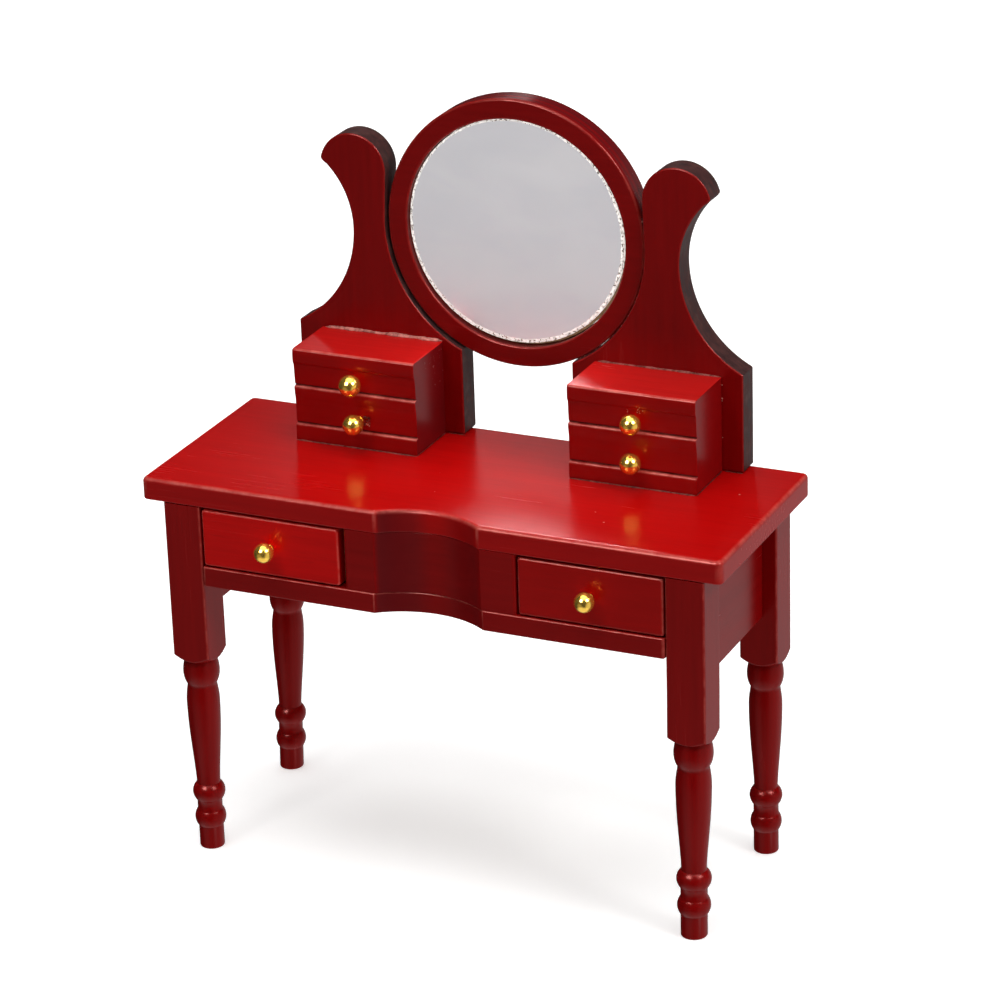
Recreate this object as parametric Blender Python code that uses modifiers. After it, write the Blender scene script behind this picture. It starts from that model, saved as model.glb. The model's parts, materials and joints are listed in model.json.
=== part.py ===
"""Dolls-house dressing table: turned legs, two drawers, two small cabinets and a round tilting mirror.

Metres, +Z up, +X to the sitter's right, -Y towards the sitter. The feet stand on Z = 0.
Every "depth" is measured backwards from the front face of the tabletop.
"""

import math

import bmesh
import bpy
from mathutils import Matrix, Vector

MM = 0.001

# Joints between pieces
GLUE_LINE = 0.10 * MM
DRAWER_PLAY = 0.15 * MM
PIN_PLAY = 0.05 * MM

# Tabletop
TOP_WIDTH = 100.8 * MM
TOP_DEPTH = 39.0 * MM
TOP_THICKNESS = 3.8 * MM
TOP_HEIGHT = 66.9 * MM
TOP_EDGE_ROUND = 0.8 * MM

# Concave recess in the middle of the front: a shallow arc, slightly wider on each lower piece
RECESS_DEPTH = 2.9 * MM
RECESS_HALF_TOP = 8.9 * MM
RECESS_HALF_BLOCK = 9.2 * MM
RECESS_HALF_RAIL = 9.5 * MM
RECESS_STEPS = 14

# Legs: a square block above, turned below
LEG_SIZE = 6.5 * MM
LEFT_OVERHANG = 3.9 * MM
RIGHT_OVERHANG = 2.9 * MM
REAR_OVERHANG = 1.0 * MM
SHOULDER_HEIGHT = 1.6 * MM
BEAD_HIGH = 34.65 * MM
BEAD_LOW = 30.15 * MM
VASE_LOW = 11.8 * MM
UPPER_RING_LOW = 8.65 * MM
LOWER_RING_HIGH = 6.95 * MM
LOWER_RING_LOW = 3.95 * MM
BEAD_TOP_RADIUS = 2.65 * MM
BEAD_RADIUS = 3.03 * MM
WAIST_RADIUS = 2.4 * MM
VASE_RADIUS = 2.76 * MM
TAPER_RADIUS = 1.95 * MM
UPPER_RING_RADIUS = 2.72 * MM
LOWER_RING_RADIUS = 2.6 * MM
FOOT_RADIUS = 2.08 * MM
FOOT_ROUND = 0.25 * MM
BLANK_RADIUS = 4.75 * MM
LEG_STEPS = 20

# Two of the legs lean a little to the left, from just under the aprons down
LEAN_START = 43.0 * MM
FRONT_RIGHT_LEAN = 0.35 * MM
REAR_LEFT_LEAN = 1.1 * MM
FRONT_RIGHT_STOUTNESS = 1.05

# Rail, aprons and the middle block of the front
RAIL_LOW = 49.26 * MM
RAIL_HIGH = 52.72 * MM
RAIL_PROUD = 0.2 * MM
BLOCK_LEFT = -14.6 * MM
BLOCK_RIGHT = 15.3 * MM
BACK_APRON_LOW = 43.8 * MM
LEFT_APRON_LOW = 43.3 * MM
RIGHT_APRON_LOW = 43.8 * MM
APRON_THICKNESS = 2.5 * MM
APRON_INSET = 2.4 * MM
SHELF_THICKNESS = 1.6 * MM
GUIDE_THICKNESS = 1.5 * MM

# Drawers
DRAWER_WIDTH = 24.6 * MM
DRAWER_HEIGHT = 9.8 * MM
DRAWER_LENGTH = 31.0 * MM
DRAWER_SET_BACK = 0.1 * MM
DRAWER_FRONT_THICKNESS = 2.2 * MM
DRAWER_WALL = 1.4 * MM
DRAWER_WALL_DROP = 0.8 * MM
DRAWER_BOTTOM = 1.0 * MM
DRAWER_BOTTOM_RAISE = 0.3 * MM
DRAWER_OUTER_GAP = 0.3 * MM

# Brass knobs: a ball on a neck, with a pin that goes into the wood
DRAWER_KNOB_BALL = 1.65 * MM
DRAWER_KNOB_NECK = 0.30 * MM
KNOB_NECK_RADIUS = 0.65 * MM
KNOB_COLLAR_RADIUS = 0.95 * MM
KNOB_COLLAR_THICKNESS = 0.15 * MM
KNOB_PIN_RADIUS = 0.4 * MM
KNOB_PIN_LENGTH = 1.8 * MM
KNOB_STEPS = 12
BALL_STEPS = 6

# Set by hand: the uprights and mirror stand a little right of the carcase's middle, the cabinets
# a little more
UPPER_SHIFT = 0.7 * MM
CABINET_SHIFT = 1.05 * MM

# Cabinets: solid blocks with a moulded front
CABINET_INNER = 13.5 * MM
CABINET_OUTER = 35.5 * MM
CABINET_HEIGHT = 16.0 * MM
CABINET_FRONT_DEPTH = 23.3 * MM
CABINET_NOSE_LOW = 13.3 * MM
CABINET_RIDGES = (9.4 * MM, 2.8 * MM)
# Each knob's ball radius, neck, distance right of the cabinet's middle, and height
CABINET_KNOBS = {
    "left_knob_upper": (1.85 * MM, 0.10 * MM, 0.25 * MM, 11.5 * MM),
    "left_knob_lower": (1.75 * MM, 0.60 * MM, 0.75 * MM, 4.9 * MM),
    "right_knob_upper": (1.72 * MM, 0.10 * MM, 0.55 * MM, 11.25 * MM),
    "right_knob_lower": (1.75 * MM, 0.10 * MM, 0.45 * MM, 4.6 * MM),
}
RIDGE_HEIGHT = 1.3 * MM
RIDGE_SET_BACK = 0.15 * MM
PANEL_SET_BACK = 0.45 * MM
GROOVE_SET_BACK = 0.7 * MM
GROOVE_HEIGHT = 0.35 * MM

# Uprights: flat scrolled boards with a round notch for the mirror
UPRIGHT_INNER = 9.8 * MM
UPRIGHT_OUTER = 39.45 * MM
UPRIGHT_FRONT_DEPTH = 34.8 * MM
UPRIGHT_THICKNESS = 4.6 * MM
UPRIGHT_EDGE_ROUND = 0.3 * MM
WAIST_X = 28.75 * MM
WAIST_Z = 100.8 * MM
LOWER_SCROLL_RADIUS = 19.0 * MM
UPPER_SCROLL_RADIUS = 14.9 * MM
HEAD_X = 28.4 * MM
HEAD_Z = 111.1 * MM
HEAD_RADIUS = 5.9 * MM
HEAD_END_ANGLE = 17.0
UPPER_SCROLL_END_ANGLE = 135.0

# Mirror: a ring around a backing disc and a disc of mirror, turning on two pins
MIRROR_Z = 102.65 * MM
RING_OUTER = 22.6 * MM
RING_INNER = 19.2 * MM
RING_THICKNESS = 4.5 * MM
RING_FRONT_DEPTH = 35.5 * MM
RING_EDGE_ROUND = 0.35 * MM
NOTCH_GAP = 0.35 * MM
GLASS_RADIUS = 18.85 * MM
GLASS_RAISE = 0.25 * MM
GLASS_CHAMFER = 0.5 * MM
GLASS_THICKNESS = 1.2 * MM
GLASS_SET_BACK = 0.3 * MM
BACK_RADIUS = 19.1 * MM
BACK_THICKNESS = 2.4 * MM
PIN_RADIUS = 0.45 * MM
PIN_IN_UPRIGHT = 2.5 * MM
PIN_IN_RING = 2.1 * MM
PIN_STEPS = 12
MIRROR_STEPS = 48

# Heights and depths that follow from the driving sizes
TOP_UNDERSIDE = TOP_HEIGHT - TOP_THICKNESS
LEG_OUTER = (TOP_WIDTH - LEFT_OVERHANG - RIGHT_OVERHANG) / 2
LEG_INNER = LEG_OUTER - LEG_SIZE
REAR_FACE = TOP_DEPTH - REAR_OVERHANG
REAR_LEG_DEPTH = REAR_FACE - LEG_SIZE
FRAME_HIGH = TOP_UNDERSIDE - GLUE_LINE
DECK = TOP_HEIGHT + GLUE_LINE
DRAWER_BASE = RAIL_HIGH + DRAWER_PLAY
DRAWER_KNOB_REACH = KNOB_COLLAR_THICKNESS + DRAWER_KNOB_NECK + 2 * DRAWER_KNOB_BALL
PIVOT_DEPTH = RING_FRONT_DEPTH + RING_THICKNESS / 2

# World X of the carcase's middle, between the legs. The tabletop itself is centred on X = 0
MIDDLE = (LEFT_OVERHANG - RIGHT_OVERHANG) / 2

# World Y of the tabletop's front face, which centres the whole object on Y = 0
RING_REAR = RING_FRONT_DEPTH + RING_THICKNESS
KNOB_FRONT = DRAWER_SET_BACK - GLUE_LINE - DRAWER_KNOB_REACH
FRONT = -(RING_REAR + KNOB_FRONT) / 2

LEFT = -1
RIGHT = 1
SIDE_NAMES = {LEFT: "left", RIGHT: "right"}


def start_clean():
    """Empty the scene and make one collection for the parts and one for the cutters."""
    for obj in list(bpy.data.objects):
        bpy.data.objects.remove(obj)
    collections = {}
    for name in ("dressing_table", "cutters"):
        collections[name] = bpy.data.collections.new(name)
        bpy.context.scene.collection.children.link(collections[name])
    return collections["dressing_table"], collections["cutters"]


PARTS, CUTTERS = start_clean()


def make_material(name, colour, roughness, metallic=0.0):
    """One Principled material."""
    material = bpy.data.materials.new(name)
    material.use_nodes = True
    shader = material.node_tree.nodes["Principled BSDF"]
    shader.inputs["Base Color"].default_value = (*colour, 1.0)
    shader.inputs["Roughness"].default_value = roughness
    shader.inputs["Metallic"].default_value = metallic
    material.diffuse_color = (*colour, 1.0)
    return material


RED_STAIN = (0.30, 0.010, 0.012)
DARK_STAIN = (0.16, 0.008, 0.010)
BARE_WOOD = (0.55, 0.36, 0.20)
BRASS = (0.83, 0.58, 0.16)
SILVERED = (0.80, 0.80, 0.82)


def finish_piece(obj, colour, roughness=0.35, metallic=0.0, parent=None):
    """Put a piece in the collection, give it a material of its own and hang it on its parent."""
    for collection in list(obj.users_collection):
        collection.objects.unlink(obj)
    PARTS.objects.link(obj)
    obj.data.materials.clear()
    obj.data.materials.append(make_material(obj.name, colour, roughness, metallic))
    if parent is not None:
        obj.parent = parent
        obj.location = obj.location - parent.location
    return obj


def at_depth(x, depth, z):
    """A world point from its place right of the carcase's middle and behind the tabletop's front face."""
    return Vector((MIDDLE + x, FRONT + depth, z))


def pivot_empty(name, place):
    """The parent of a moving group, on its joint."""
    empty = bpy.data.objects.new(name, None)
    empty.location = place
    PARTS.objects.link(empty)
    return empty


def add_bevel(obj, width, segments=2):
    """Round the sharp edges of a piece."""
    bevel = obj.modifiers.new("rounded edges", "BEVEL")
    bevel.width = width
    bevel.segments = segments
    bevel.limit_method = "ANGLE"
    bevel.angle_limit = math.radians(32)


def box(name, low, high, edge=0.15 * MM):
    """A board between two corners, each given as x, depth and z."""
    low = at_depth(*low)
    high = at_depth(*high)
    mesh = bpy.data.meshes.new(name)
    shape = bmesh.new()
    bmesh.ops.create_cube(shape, size=1.0)
    bmesh.ops.scale(shape, vec=high - low, verts=shape.verts)
    shape.to_mesh(mesh)
    shape.free()
    obj = bpy.data.objects.new(name, mesh)
    obj.location = (low + high) / 2
    if edge:
        add_bevel(obj, edge, 1)
    return obj


def evaluated_mesh(obj):
    """A plain mesh of what an object's modifiers make of it."""
    bpy.context.view_layer.update()
    evaluated = obj.evaluated_get(bpy.context.evaluated_depsgraph_get())
    return bpy.data.meshes.new_from_object(evaluated)


def smooth(mesh):
    """Smooth shading, with sharp edges kept sharp."""
    mesh.shade_smooth()
    mesh.set_sharp_from_angle(angle=math.radians(32))


def board(name, outline, thickness, turn=None):
    """A flat board cut to an outline, centred on its own thickness. The turn stands it up."""
    curve = bpy.data.curves.new(name + "_outline", "CURVE")
    curve.dimensions = "2D"
    curve.fill_mode = "BOTH"
    curve.extrude = thickness / 2
    spline = curve.splines.new("POLY")
    spline.points.add(len(outline) - 1)
    for point, (u, v) in zip(spline.points, outline):
        point.co = (u, v, 0.0, 1.0)
    spline.use_cyclic_u = True
    guide = bpy.data.objects.new(name + "_outline", curve)
    CUTTERS.objects.link(guide)
    mesh = evaluated_mesh(guide)
    bpy.data.objects.remove(guide)
    shape = bmesh.new()
    shape.from_mesh(mesh)
    bmesh.ops.remove_doubles(shape, verts=shape.verts, dist=0.002 * MM)
    if turn is not None:
        bmesh.ops.transform(shape, matrix=turn, verts=shape.verts)
    bmesh.ops.recalc_face_normals(shape, faces=shape.faces)
    shape.to_mesh(mesh)
    shape.free()
    smooth(mesh)
    return bpy.data.objects.new(name, mesh)


def turned(name, profile, steps, closed=False):
    """A shape turned on the lathe about Z, from radius and height down its outer side, top first."""
    mesh = bpy.data.meshes.new(name + "_profile")
    shape = bmesh.new()
    points = [shape.verts.new((radius, 0.0, height)) for radius, height in profile]
    for above, below in zip(points, points[1:]):
        shape.edges.new((above, below))
    if closed:
        shape.edges.new((points[-1], points[0]))
    shape.to_mesh(mesh)
    shape.free()
    lathe = bpy.data.objects.new(name + "_lathe", mesh)
    CUTTERS.objects.link(lathe)
    screw = lathe.modifiers.new("lathe", "SCREW")
    screw.steps = steps
    screw.render_steps = steps
    screw.use_merge_vertices = True
    screw.merge_threshold = 0.001 * MM
    solid = evaluated_mesh(lathe)
    bpy.data.objects.remove(lathe)
    smooth(solid)
    return bpy.data.objects.new(name, solid)


def lay_axis(obj, axis):
    """Turn a lathe-made mesh so that its +Z points along the axis."""
    obj.data.transform(Vector((0, 0, 1)).rotation_difference(Vector(axis)).to_matrix().to_4x4())


def bore(target, place, axis, radius, length):
    """Drill a round blind hole from a point on a piece's face, along the axis."""
    axis = Vector(axis)
    over = 0.5 * MM
    drill = turned(
        f"{target.name}_drill_{len(CUTTERS.objects)}",
        [(0, length), (radius, length), (radius, -over), (0, -over)],
        PIN_STEPS,
    )
    lay_axis(drill, axis)
    drill.location = place
    drill.hide_render = True
    drill.display_type = "WIRE"
    CUTTERS.objects.link(drill)
    cut = target.modifiers.new("bore", "BOOLEAN")
    cut.operation = "DIFFERENCE"
    cut.solver = "EXACT"
    cut.object = drill


def arc(centre, radius, start, end, steps):
    """Points on a circle from one angle to another, in degrees."""
    points = []
    for step in range(steps + 1):
        angle = math.radians(start + (end - start) * step / steps)
        points.append((centre[0] + radius * math.cos(angle), centre[1] + radius * math.sin(angle)))
    return points


def soft_corner(before, corner, after, steps=4):
    """Points that round a corner between two neighbours, without the neighbours themselves."""
    points = []
    for step in range(1, steps):
        t = step / steps
        first = (1 - t) ** 2
        second = 2 * t * (1 - t)
        points.append(tuple(first * a + second * b + t ** 2 * c for a, b, c in zip(before, corner, after)))
    return points


def recess_outline(left, right, front, rear, half_width):
    """A plan outline, x against depth, whose front edge has the shallow concave arc."""
    reach = RECESS_DEPTH - front
    radius = (half_width ** 2 + reach ** 2) / (2 * reach)
    swing = math.degrees(math.asin(half_width / radius))
    hollow = arc((0, RECESS_DEPTH - radius), radius, 90 + swing, 90 - swing, RECESS_STEPS)
    return [(left, front), *hollow, (right, front), (right, rear), (left, rear)]


def plan_board(name, outline, low, high):
    """A board from a plan outline of x against depth, between two heights."""
    obj = board(name, outline, high - low)
    obj.location = at_depth(0, 0, (low + high) / 2)
    return obj


def build_tabletop():
    left = -LEG_OUTER - LEFT_OVERHANG
    right = LEG_OUTER + RIGHT_OVERHANG
    outline = recess_outline(left, right, 0, TOP_DEPTH, RECESS_HALF_TOP)
    top = plan_board("tabletop", outline, TOP_UNDERSIDE, TOP_HEIGHT)
    add_bevel(top, TOP_EDGE_ROUND, 3)
    finish_piece(top, RED_STAIN)


def swell(low, high, radius_low, radius_high, radius_peak, steps=6):
    """A turned bead between two heights, as radius and height from its top down."""
    points = []
    for step in range(steps + 1):
        t = 1 - step / steps
        waist = radius_low + (radius_high - radius_low) * t
        points.append((waist + (radius_peak - waist) * math.sin(math.pi * t), low + (high - low) * t))
    return points


def vase(low, high, radius_low, radius_high, radius_peak, peak=0.82, steps=7):
    """The long vase of the leg: a neck, a full shoulder and a slow taper, from its top down."""
    points = []
    for step in range(1, 4):
        rise = 1 - step / 3
        radius = radius_high + (radius_peak - radius_high) * math.cos(math.pi / 2 * rise)
        points.append((radius, low + (high - low) * (peak + (1 - peak) * rise)))
    for step in range(1, steps + 1):
        fall = 1 - step / steps
        radius = radius_low + (radius_peak - radius_low) * math.sin(math.pi / 2 * fall) ** 1.4
        points.append((radius, low + (high - low) * peak * fall))
    return points


def leg_profile(stoutness):
    """Radius and height down the leg, from the top of the square blank to the foot."""
    shoulder = []
    for step in range(1, 5):
        t = 1 - step / 4
        radius = BEAD_TOP_RADIUS + (BLANK_RADIUS - BEAD_TOP_RADIUS) * t
        shoulder.append((radius, BEAD_HIGH + SHOULDER_HEIGHT * (0.7 * t + 0.3 * t ** 2)))
    slender = [
        (0, FRAME_HIGH),
        (BLANK_RADIUS, FRAME_HIGH),
        (BLANK_RADIUS, BEAD_HIGH + SHOULDER_HEIGHT),
        *shoulder,
        *swell(BEAD_LOW, BEAD_HIGH, WAIST_RADIUS, BEAD_TOP_RADIUS, BEAD_RADIUS)[1:],
        *vase(VASE_LOW, BEAD_LOW, TAPER_RADIUS, WAIST_RADIUS, VASE_RADIUS),
        *swell(UPPER_RING_LOW, VASE_LOW, FOOT_RADIUS, TAPER_RADIUS, UPPER_RING_RADIUS)[1:],
        *swell(LOWER_RING_LOW, LOWER_RING_HIGH, FOOT_RADIUS, FOOT_RADIUS, LOWER_RING_RADIUS),
        (FOOT_RADIUS, FOOT_ROUND),
        (FOOT_RADIUS - FOOT_ROUND, 0),
        (0, 0),
    ]
    return [(radius * stoutness, height) for radius, height in slender]


def build_leg(side, place_name, near_depth, lean=0, stoutness=1):
    """One leg: the turned blank, trimmed to a square wherever the blank is wider than the square.

    Its foot stands to the left of the block by the lean.
    """
    name = f"leg_{place_name}_{SIDE_NAMES[side]}"
    leg = turned(name, leg_profile(stoutness), LEG_STEPS)
    centre_x = side * (LEG_OUTER - LEG_SIZE / 2)
    leg.location = at_depth(centre_x, near_depth + LEG_SIZE / 2, 0)
    half = LEG_SIZE / 2
    square = box(
        name + "_square",
        (centre_x - half, near_depth, -half),
        (centre_x + half, near_depth + LEG_SIZE, TOP_HEIGHT),
        edge=0,
    )
    add_bevel(square, 0.3 * MM, 2)
    square.hide_render = True
    square.display_type = "WIRE"
    CUTTERS.objects.link(square)
    trim = leg.modifiers.new("square blank", "BOOLEAN")
    trim.operation = "INTERSECT"
    trim.solver = "EXACT"
    trim.object = square
    PARTS.objects.link(leg)
    leg.data = evaluated_mesh(leg)
    leg.modifiers.clear()
    for vertex in leg.data.vertices:
        below = max(LEAN_START - vertex.co.z, 0)
        vertex.co.x -= lean * below / LEAN_START
    finish_piece(leg, RED_STAIN)


def build_front():
    """The middle block with the concave face, and the rail that runs under the drawers."""
    outline = recess_outline(BLOCK_LEFT, BLOCK_RIGHT, 0, LEG_SIZE, RECESS_HALF_BLOCK)
    block = plan_board("centre_block", outline, RAIL_HIGH + GLUE_LINE, FRAME_HIGH)
    finish_piece(block, RED_STAIN)
    end = LEG_INNER - GLUE_LINE
    outline = recess_outline(-end, end, -RAIL_PROUD, LEG_SIZE, RECESS_HALF_RAIL)
    rail = plan_board("front_rail", outline, RAIL_LOW, RAIL_HIGH)
    add_bevel(rail, 0.25 * MM, 2)
    finish_piece(rail, RED_STAIN)


def build_carcase():
    """The aprons between the legs, and the shelf and guides that the drawers run on."""
    near = LEG_SIZE + GLUE_LINE
    far = REAR_LEG_DEPTH - GLUE_LINE
    apron_outer = LEG_OUTER - APRON_INSET
    apron_inner = apron_outer - APRON_THICKNESS
    low_edge = {LEFT: LEFT_APRON_LOW, RIGHT: RIGHT_APRON_LOW}
    for side in (LEFT, RIGHT):
        low_x, high_x = sorted((side * apron_inner, side * apron_outer))
        low = (low_x, near, low_edge[side])
        apron = box(f"side_apron_{SIDE_NAMES[side]}", low, (high_x, far, FRAME_HIGH))
        finish_piece(apron, RED_STAIN)
    end = LEG_INNER - GLUE_LINE
    back_near = REAR_FACE - APRON_INSET - APRON_THICKNESS
    back_far = back_near + APRON_THICKNESS
    back = box("back_apron", (-end, back_near, BACK_APRON_LOW), (end, back_far, FRAME_HIGH))
    finish_piece(back, DARK_STAIN)
    reach = apron_inner - GLUE_LINE
    shelf = box("drawer_shelf", (-reach, near, RAIL_HIGH - SHELF_THICKNESS), (reach, far, RAIL_HIGH))
    finish_piece(shelf, BARE_WOOD, 0.6)
    guide_spans = {
        LEFT: (BLOCK_LEFT, BLOCK_LEFT + GUIDE_THICKNESS),
        RIGHT: (BLOCK_RIGHT - GUIDE_THICKNESS, BLOCK_RIGHT),
    }
    for side, (low_x, high_x) in guide_spans.items():
        guide = box(
            f"drawer_guide_{SIDE_NAMES[side]}",
            (low_x, near, RAIL_HIGH + GLUE_LINE),
            (high_x, back_near - GLUE_LINE, FRAME_HIGH),
        )
        finish_piece(guide, BARE_WOOD, 0.6)


def knob_profile(ball, neck):
    """Radius and height of a knob, from the tip of its ball to the end of its pin.

    Height 0 is the underside of the collar.
    """
    centre = KNOB_COLLAR_THICKNESS + neck + ball
    last = 180 - math.degrees(math.asin(KNOB_NECK_RADIUS / ball))
    round_side = []
    for step in range(1, BALL_STEPS + 1):
        angle = math.radians(last * step / BALL_STEPS)
        round_side.append((ball * math.sin(angle), centre + ball * math.cos(angle)))
    return [
        (0, centre + ball),
        *round_side,
        (KNOB_NECK_RADIUS, KNOB_COLLAR_THICKNESS),
        (KNOB_COLLAR_RADIUS, KNOB_COLLAR_THICKNESS),
        (KNOB_COLLAR_RADIUS, 0),
        (KNOB_PIN_RADIUS, 0),
        (KNOB_PIN_RADIUS, -KNOB_PIN_LENGTH),
        (0, -KNOB_PIN_LENGTH),
    ]


def build_knob(name, wood, place, ball, neck, parent=None):
    """A knob on a piece of wood, and the hole for its pin."""
    knob = turned(name, knob_profile(ball, neck), KNOB_STEPS)
    lay_axis(knob, (0, -1, 0))
    knob.location = place - Vector((0, GLUE_LINE, 0))
    finish_piece(knob, BRASS, 0.15, 1.0, parent)
    bore(wood, place, (0, 1, 0), KNOB_PIN_RADIUS + PIN_PLAY, KNOB_PIN_LENGTH + GLUE_LINE)


def build_drawer(side):
    """An open box of five boards behind one knob. It slides out on an empty at the middle of its face."""
    name = f"drawer_{SIDE_NAMES[side]}"
    if side == LEFT:
        left = -LEG_INNER + DRAWER_OUTER_GAP
    else:
        left = BLOCK_RIGHT + DRAWER_OUTER_GAP
    right = left + DRAWER_WIDTH
    middle = (left + right) / 2
    base = DRAWER_BASE
    face = DRAWER_SET_BACK
    rear = face + DRAWER_LENGTH
    slide = pivot_empty(name + "_slide", at_depth(middle, face, base + DRAWER_HEIGHT / 2))

    front_far = face + DRAWER_FRONT_THICKNESS
    front = box(name + "_front", (left, face, base), (right, front_far, base + DRAWER_HEIGHT), edge=0)
    add_bevel(front, 0.45 * MM, 3)
    near = front_far + GLUE_LINE
    floor = base + DRAWER_BOTTOM_RAISE
    wall_high = base + DRAWER_HEIGHT - DRAWER_WALL_DROP
    walls = {
        "wall_left": ((left, near, base), (left + DRAWER_WALL, rear, wall_high)),
        "wall_right": ((right - DRAWER_WALL, near, base), (right, rear, wall_high)),
        "back": (
            (left + DRAWER_WALL + GLUE_LINE, rear - DRAWER_WALL, floor),
            (right - DRAWER_WALL - GLUE_LINE, rear, wall_high),
        ),
        "bottom": (
            (left + DRAWER_WALL + GLUE_LINE, near, floor),
            (right - DRAWER_WALL - GLUE_LINE, rear - DRAWER_WALL - GLUE_LINE, floor + DRAWER_BOTTOM),
        ),
    }
    for part, (low, high) in walls.items():
        finish_piece(box(f"{name}_{part}", low, high, edge=0.1 * MM), BARE_WOOD, 0.6, parent=slide)
    build_knob(name + "_knob", front, slide.location, DRAWER_KNOB_BALL, DRAWER_KNOB_NECK, slide)
    finish_piece(front, RED_STAIN, parent=slide)


def cabinet_profile():
    """Depth against height around a cabinet's end: a bold top nose, then panels between fine ridges."""
    front = CABINET_FRONT_DEPTH
    rear = UPRIGHT_FRONT_DEPTH - GLUE_LINE
    nose_middle = (CABINET_NOSE_LOW + CABINET_HEIGHT) / 2
    points = [
        (rear, CABINET_HEIGHT),
        (front + 0.5 * MM, CABINET_HEIGHT),
        (front + 0.15 * MM, CABINET_HEIGHT - 0.15 * MM),
        (front, CABINET_HEIGHT - 0.5 * MM),
        (front - 0.05 * MM, nose_middle),
        (front + 0.05 * MM, CABINET_NOSE_LOW + 0.25 * MM),
        (front + 0.3 * MM, CABINET_NOSE_LOW),
    ]
    for ridge in CABINET_RIDGES:
        points += [
            (front + PANEL_SET_BACK, ridge + GROOVE_HEIGHT),
            (front + GROOVE_SET_BACK, ridge + GROOVE_HEIGHT / 2),
            (front + RIDGE_SET_BACK + 0.1 * MM, ridge),
            (front + RIDGE_SET_BACK, ridge - 0.2 * MM),
            (front + RIDGE_SET_BACK, ridge - RIDGE_HEIGHT),
            (front + PANEL_SET_BACK - 0.1 * MM, ridge - 2 * RIDGE_HEIGHT),
        ]
    # Below the last ridge the front runs straight down to the top.
    points[-1] = (front + RIDGE_SET_BACK, 0)
    points.append((rear, 0))
    return [(depth, DECK + height) for depth, height in points]


def build_cabinet(side):
    """A solid block, milled across its front, with two knobs."""
    # The profile's two directions become world Y and Z, and the block's length becomes X.
    stand = Matrix(((0, 0, 1, 0), (1, 0, 0, 0), (0, 1, 0, 0), (0, 0, 0, 1)))
    name = f"cabinet_{SIDE_NAMES[side]}"
    block = board(name, cabinet_profile(), CABINET_OUTER - CABINET_INNER, stand)
    middle = CABINET_SHIFT + side * (CABINET_OUTER + CABINET_INNER) / 2
    block.location = at_depth(middle, 0, 0)
    for level in ("upper", "lower"):
        knob = f"{SIDE_NAMES[side]}_knob_{level}"
        ball, neck, aside, height = CABINET_KNOBS[knob]
        place = at_depth(middle + aside, CABINET_FRONT_DEPTH + PANEL_SET_BACK, DECK + height)
        build_knob("cabinet_" + knob, block, place, ball, neck)
    finish_piece(block, RED_STAIN)


def upright_outline(side):
    """The scrolled board seen from the front: x measured from the mirror's middle, and height."""
    notch = RING_OUTER + NOTCH_GAP
    notch_start = math.degrees(math.acos(UPRIGHT_INNER / notch))
    lower_centre = (WAIST_X + LOWER_SCROLL_RADIUS, WAIST_Z)
    upper_centre = (WAIST_X + UPPER_SCROLL_RADIUS, WAIST_Z)
    base_turn = math.degrees(math.acos((lower_centre[0] - UPRIGHT_OUTER) / LOWER_SCROLL_RADIUS))
    head = arc((HEAD_X, HEAD_Z), HEAD_RADIUS, 180, HEAD_END_ANGLE, 14)
    upper_scroll = arc(upper_centre, UPPER_SCROLL_RADIUS, UPPER_SCROLL_END_ANGLE, 180, 7)
    lower_scroll = arc(lower_centre, LOWER_SCROLL_RADIUS, 180, 180 + base_turn, 9)
    tip = (head[-1][0] + 0.4 * MM, (head[-1][1] + upper_scroll[0][1]) / 2)
    points = [
        (UPRIGHT_INNER, DECK),
        *arc((0, MIRROR_Z), notch, -notch_start, 0, 12),
        *head,
        *soft_corner(head[-1], tip, upper_scroll[0]),
        *upper_scroll,
        *lower_scroll[1:],
        (UPRIGHT_OUTER, DECK),
    ]
    return [(side * x, z) for x, z in points]


def build_upright(side):
    """A scrolled board that stands at the rear of the top and holds one pivot pin."""
    # The outline's two directions become world X and Z, and the thickness becomes Y.
    stand = Matrix(((1, 0, 0, 0), (0, 0, -1, 0), (0, 1, 0, 0), (0, 0, 0, 1)))
    upright = board(f"upright_{SIDE_NAMES[side]}", upright_outline(side), UPRIGHT_THICKNESS, stand)
    upright.location = at_depth(UPPER_SHIFT, UPRIGHT_FRONT_DEPTH + UPRIGHT_THICKNESS / 2, 0)
    add_bevel(upright, UPRIGHT_EDGE_ROUND, 2)
    notch_x = UPPER_SHIFT + side * (RING_OUTER + NOTCH_GAP)
    notch_face = at_depth(notch_x, PIVOT_DEPTH, MIRROR_Z)
    bore(upright, notch_face, (side, 0, 0), PIN_RADIUS + PIN_PLAY, PIN_IN_UPRIGHT + GLUE_LINE)
    finish_piece(upright, DARK_STAIN)


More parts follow.
